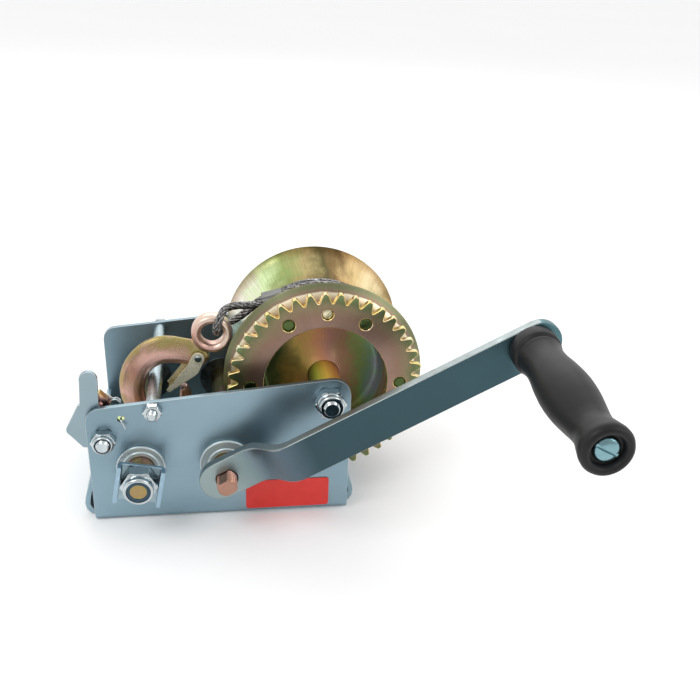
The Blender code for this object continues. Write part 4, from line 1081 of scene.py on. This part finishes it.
def make_grip():
    y_end, y_start = span("grip")
    length = y_start - y_end
    collar = [(0.0, 12.9), (0.6, 13.6), (1.6, 13.9), (8.4, 13.9), (9.8, 13.5), (10.4, 12.7), (11.0, 12.2),
              (11.8, 12.6), (12.8, 12.9), (14.0, 12.5)]
    palm = smooth_line([(14.0, 12.4), (21.0, 11.9), (29.0, 12.2), (41.0, 13.6), (54.0, 14.4), (66.0, 13.9),
                        (77.0, 12.5), (86.0, 11.2), (93.0, 11.0), (99.5, 12.3), (105.0, 13.5)], 5)
    flare = [(107.6, 13.6), (109.4, 12.9), (length, 11.4), (length - 0.3, 9.4), (length - 1.4, 8.7),
             (length - 4.0, 8.2), (length - 4.2, 4.1)]
    profile = [(y_start - s, r) for s, r in collar + [tuple(p) for p in palm[1:]] + flare]
    mesh = turned("grip", profile + [(y_start, 4.1)], GRIP, 80)
    add_piece("grip_sleeve_black", mesh, ["grip"], BLACK, 50, False)
    y0, y1 = span("grip_spindle")
    head = shift([(0, 0), (0.1, 3.0), (0.6, 5.2), (1.4, 6.4), (2.3, 6.8), (2.4, 4.0)], y0)
    spindle = turned("spindle", head + shift([(-0.6, 4.0), (0, 3.3), (0, 0)], y1), GRIP, SMALL_ROUND)
    add_piece("grip_screw", slotted(spindle, GRIP, (8.0, 0.8), -28, y0, 1.6), ["grip_spindle"], SCREW, 40)


def make_bracket():
    """Bent channel that the crank arm would sit in on the lower shaft."""
    y0, y1 = span("low_speed_bracket")
    half, wall, bend, low, high = 13.7, 2.4, 3.2, -15.0, 9.6
    left, right = (-half + bend, y1 - bend), (half - bend, y1 - bend)
    outer = [(-half, y0)] + arc(left, bend, 180, 90, 7) + arc(right, bend, 90, 0, 7) + [(half, y0)]
    inner = [(half - wall, y0)] + arc(right, bend - wall, 0, 90, 4) + arc(left, bend - wall, 90, 180, 4)
    mesh = slab("bracket", [outer + inner + [(-half + wall, y0)]], low, high, 0.45)
    a = math.radians(BRACKET_TILT)
    across, up = Vector((math.cos(a), 0, math.sin(a))), Vector((-math.sin(a), 0, math.cos(a)))
    turn = Matrix((across, up, Vector((0, 1, 0)))).transposed().to_4x4()
    mesh.transform(Matrix.Translation((LOW[0] * MM, 0, LOW[1] * MM)) @ turn)
    piece = add_piece("bracket_channel", mesh, ["low_speed_bracket"], [LEVER, BRACKET_PAINTED_SHEEN], 45)
    # Painted reflection and highlight: the faces that turn up and down and the channel's front edges take the
    # paler second finish.
    lip = (y0 + 0.5) * MM
    paint(piece, lambda polygon: int(abs(polygon.normal.dot(up)) > 0.2 or polygon.center.y < lip))


def make_label():
    low, high = box("label")
    corner = 2.0
    left, right, bottom, top = low.x + corner, high.x - corner, low.z + corner, high.z - corner
    outline = []
    for k, centre in enumerate(((right, top), (left, top), (left, bottom), (right, bottom))):
        outline += arc(centre, corner, 90 * k, 90 * k + 90, 8)
    add_piece("red_sticker", slab("label", [outline], low.y, high.y, 0.06, 1), ["label"], RED)


SPRING_HOLE = (-57.3, 70.7)


def make_spring():
    """The wire that flips the pawl over centre; it bends between the plate and the pawl's lug."""
    hx, hz = SPRING_HOLE
    front, back = span("pawl")
    lug_x, lug_z = PAWL[0] + 0.2, PAWL[1] + 20.5
    start = [(hx + 2.6, NEAR - 3.4, hz - 4.6), (hx + 0.4, NEAR - 1.0, hz - 0.8), (hx, NEAR + 1.5, hz),
             (hx, NEAR + 6.0, hz)]
    coil = [(hx - 3.4 + 3.2 * math.cos(a), NEAR + 8.4 + 1.2 * a / math.pi, hz + 5.0 + 3.2 * math.sin(a))
            for a in [math.radians(-60 + 45 * i) for i in range(13)]]
    leg = [(lug_x + 2.0, back + 1.6, lug_z + 2.0), (lug_x, back + 0.9, lug_z), (lug_x, front + 1.0, lug_z)]
    spring = tube("spring", smooth_line(start + coil + leg, 5), 0.6, 10)
    wire = add_piece("spring_wire", spring, ["pawl_spring"], BRIGHT, 50, False, rides=False)
    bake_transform(wire)


def finish_kept_nodes():
    finish_cad("frame", PLATE, 0.5, EDGE)
    finish_cad("pawl_lever", LEVER, 0.4, EDGE)
    finish_cad("pawl", CHROMATE, 0.4)
    for node in ("drum_pinion", "low_speed_gear", "low_speed_pinion", "ratchet_wheel", "crank_collar",
                 "low_speed_collar"):
        finish_cad(node, CHROMATE, 0.3)


# ---- studio

def make_floor():
    size = 6000.0
    corners = [(-size, -size, 0), (size, -size, 0), (size, size, 0), (-size, size, 0)]
    floor = add_object("floor", build_mesh("floor", corners, [(0, 1, 2, 3)]))
    tree = Surface("floor_paper", 0.0, 0.9)
    tree.set(tree.sockets["Base Color"], tree.mix(tree.noise(3.0), (0.92, 0.92, 0.92), (0.95, 0.95, 0.95)))
    floor.data.materials.append(tree.material)


def make_world():
    """Soft room: bright behind and overhead, greyer on the crank's side so that metal shows its form."""
    world = bpy.data.worlds.new("studio")
    bpy.context.scene.world = world
    world.use_nodes = True
    tree = Tree(world.node_tree, "Generated")
    y, z = tree.split(tree.place)[1:]
    overhead = tree.ramp(z, [(0.0, 1.0), (1.0, 0.88)])
    in_front = tree.ramp(tree.math("MULTIPLY", y, -1.0), [(0.0, 1.0), (1.0, 0.55)])
    background = tree.nodes["Background"].inputs
    tree.set(background["Color"], tree.times(overhead, in_front))
    tree.set(background["Strength"], 1.18)


LIT_SPOT = Vector((0.0, 0.0, 0.06))


def add_light(name, place, size, watts):
    """Area light aimed at the winch; its place and size are in metres."""
    data = bpy.data.lights.new(name, "AREA")
    data.shape = "RECTANGLE"
    data.size, data.size_y = size
    data.energy = watts
    light = add_object(name, data)
    light.location = place
    light.rotation_euler = (LIT_SPOT - light.location).to_track_quat("-Z", "Y").to_euler()


def make_lights():
    add_light("key", (-0.75, -0.55, 1.25), (0.9, 0.6), 6.0)
    add_light("fill", (1.0, -0.65, 0.75), (0.6, 0.9), 3.0)
    add_light("back", (0.15, 1.2, 1.0), (1.4, 0.4), 4.0)


def make_camera():
    """The view's own lens, height and slight roll, in degrees and metres."""
    azimuth, elevation, roll = math.radians(-10.41), math.radians(27.67), math.radians(3.02)
    back = Vector((math.sin(azimuth) * math.cos(elevation), -math.cos(azimuth) * math.cos(elevation),
                   math.sin(elevation)))
    right = Vector((math.cos(azimuth), math.sin(azimuth), 0))
    up = right.cross(-back)
    right, up = (math.cos(roll) * right + math.sin(roll) * up, math.cos(roll) * up - math.sin(roll) * right)
    data = bpy.data.cameras.new("camera")
    data.sensor_width = 36.0
    data.lens = 47.36
    data.shift_x, data.shift_y = -0.0259, 0.0481
    camera = add_object("camera", data)
    turn = Matrix((right, up, back)).transposed().to_4x4()
    camera.matrix_world = Matrix.Translation((-0.0005, -0.5369, 0.3439)) @ turn
    bpy.context.scene.camera = camera


bpy.context.scene.view_settings.view_transform = "Standard"
make_camera()
make_floor()
make_world()
make_lights()
finish_kept_nodes()
make_shafts()
make_bushings()
make_fasteners()
make_drum()
make_pack()
make_lead()
make_hook()
make_latch()
make_crank_arm()
make_grip()
make_bracket()
make_label()
make_spring()
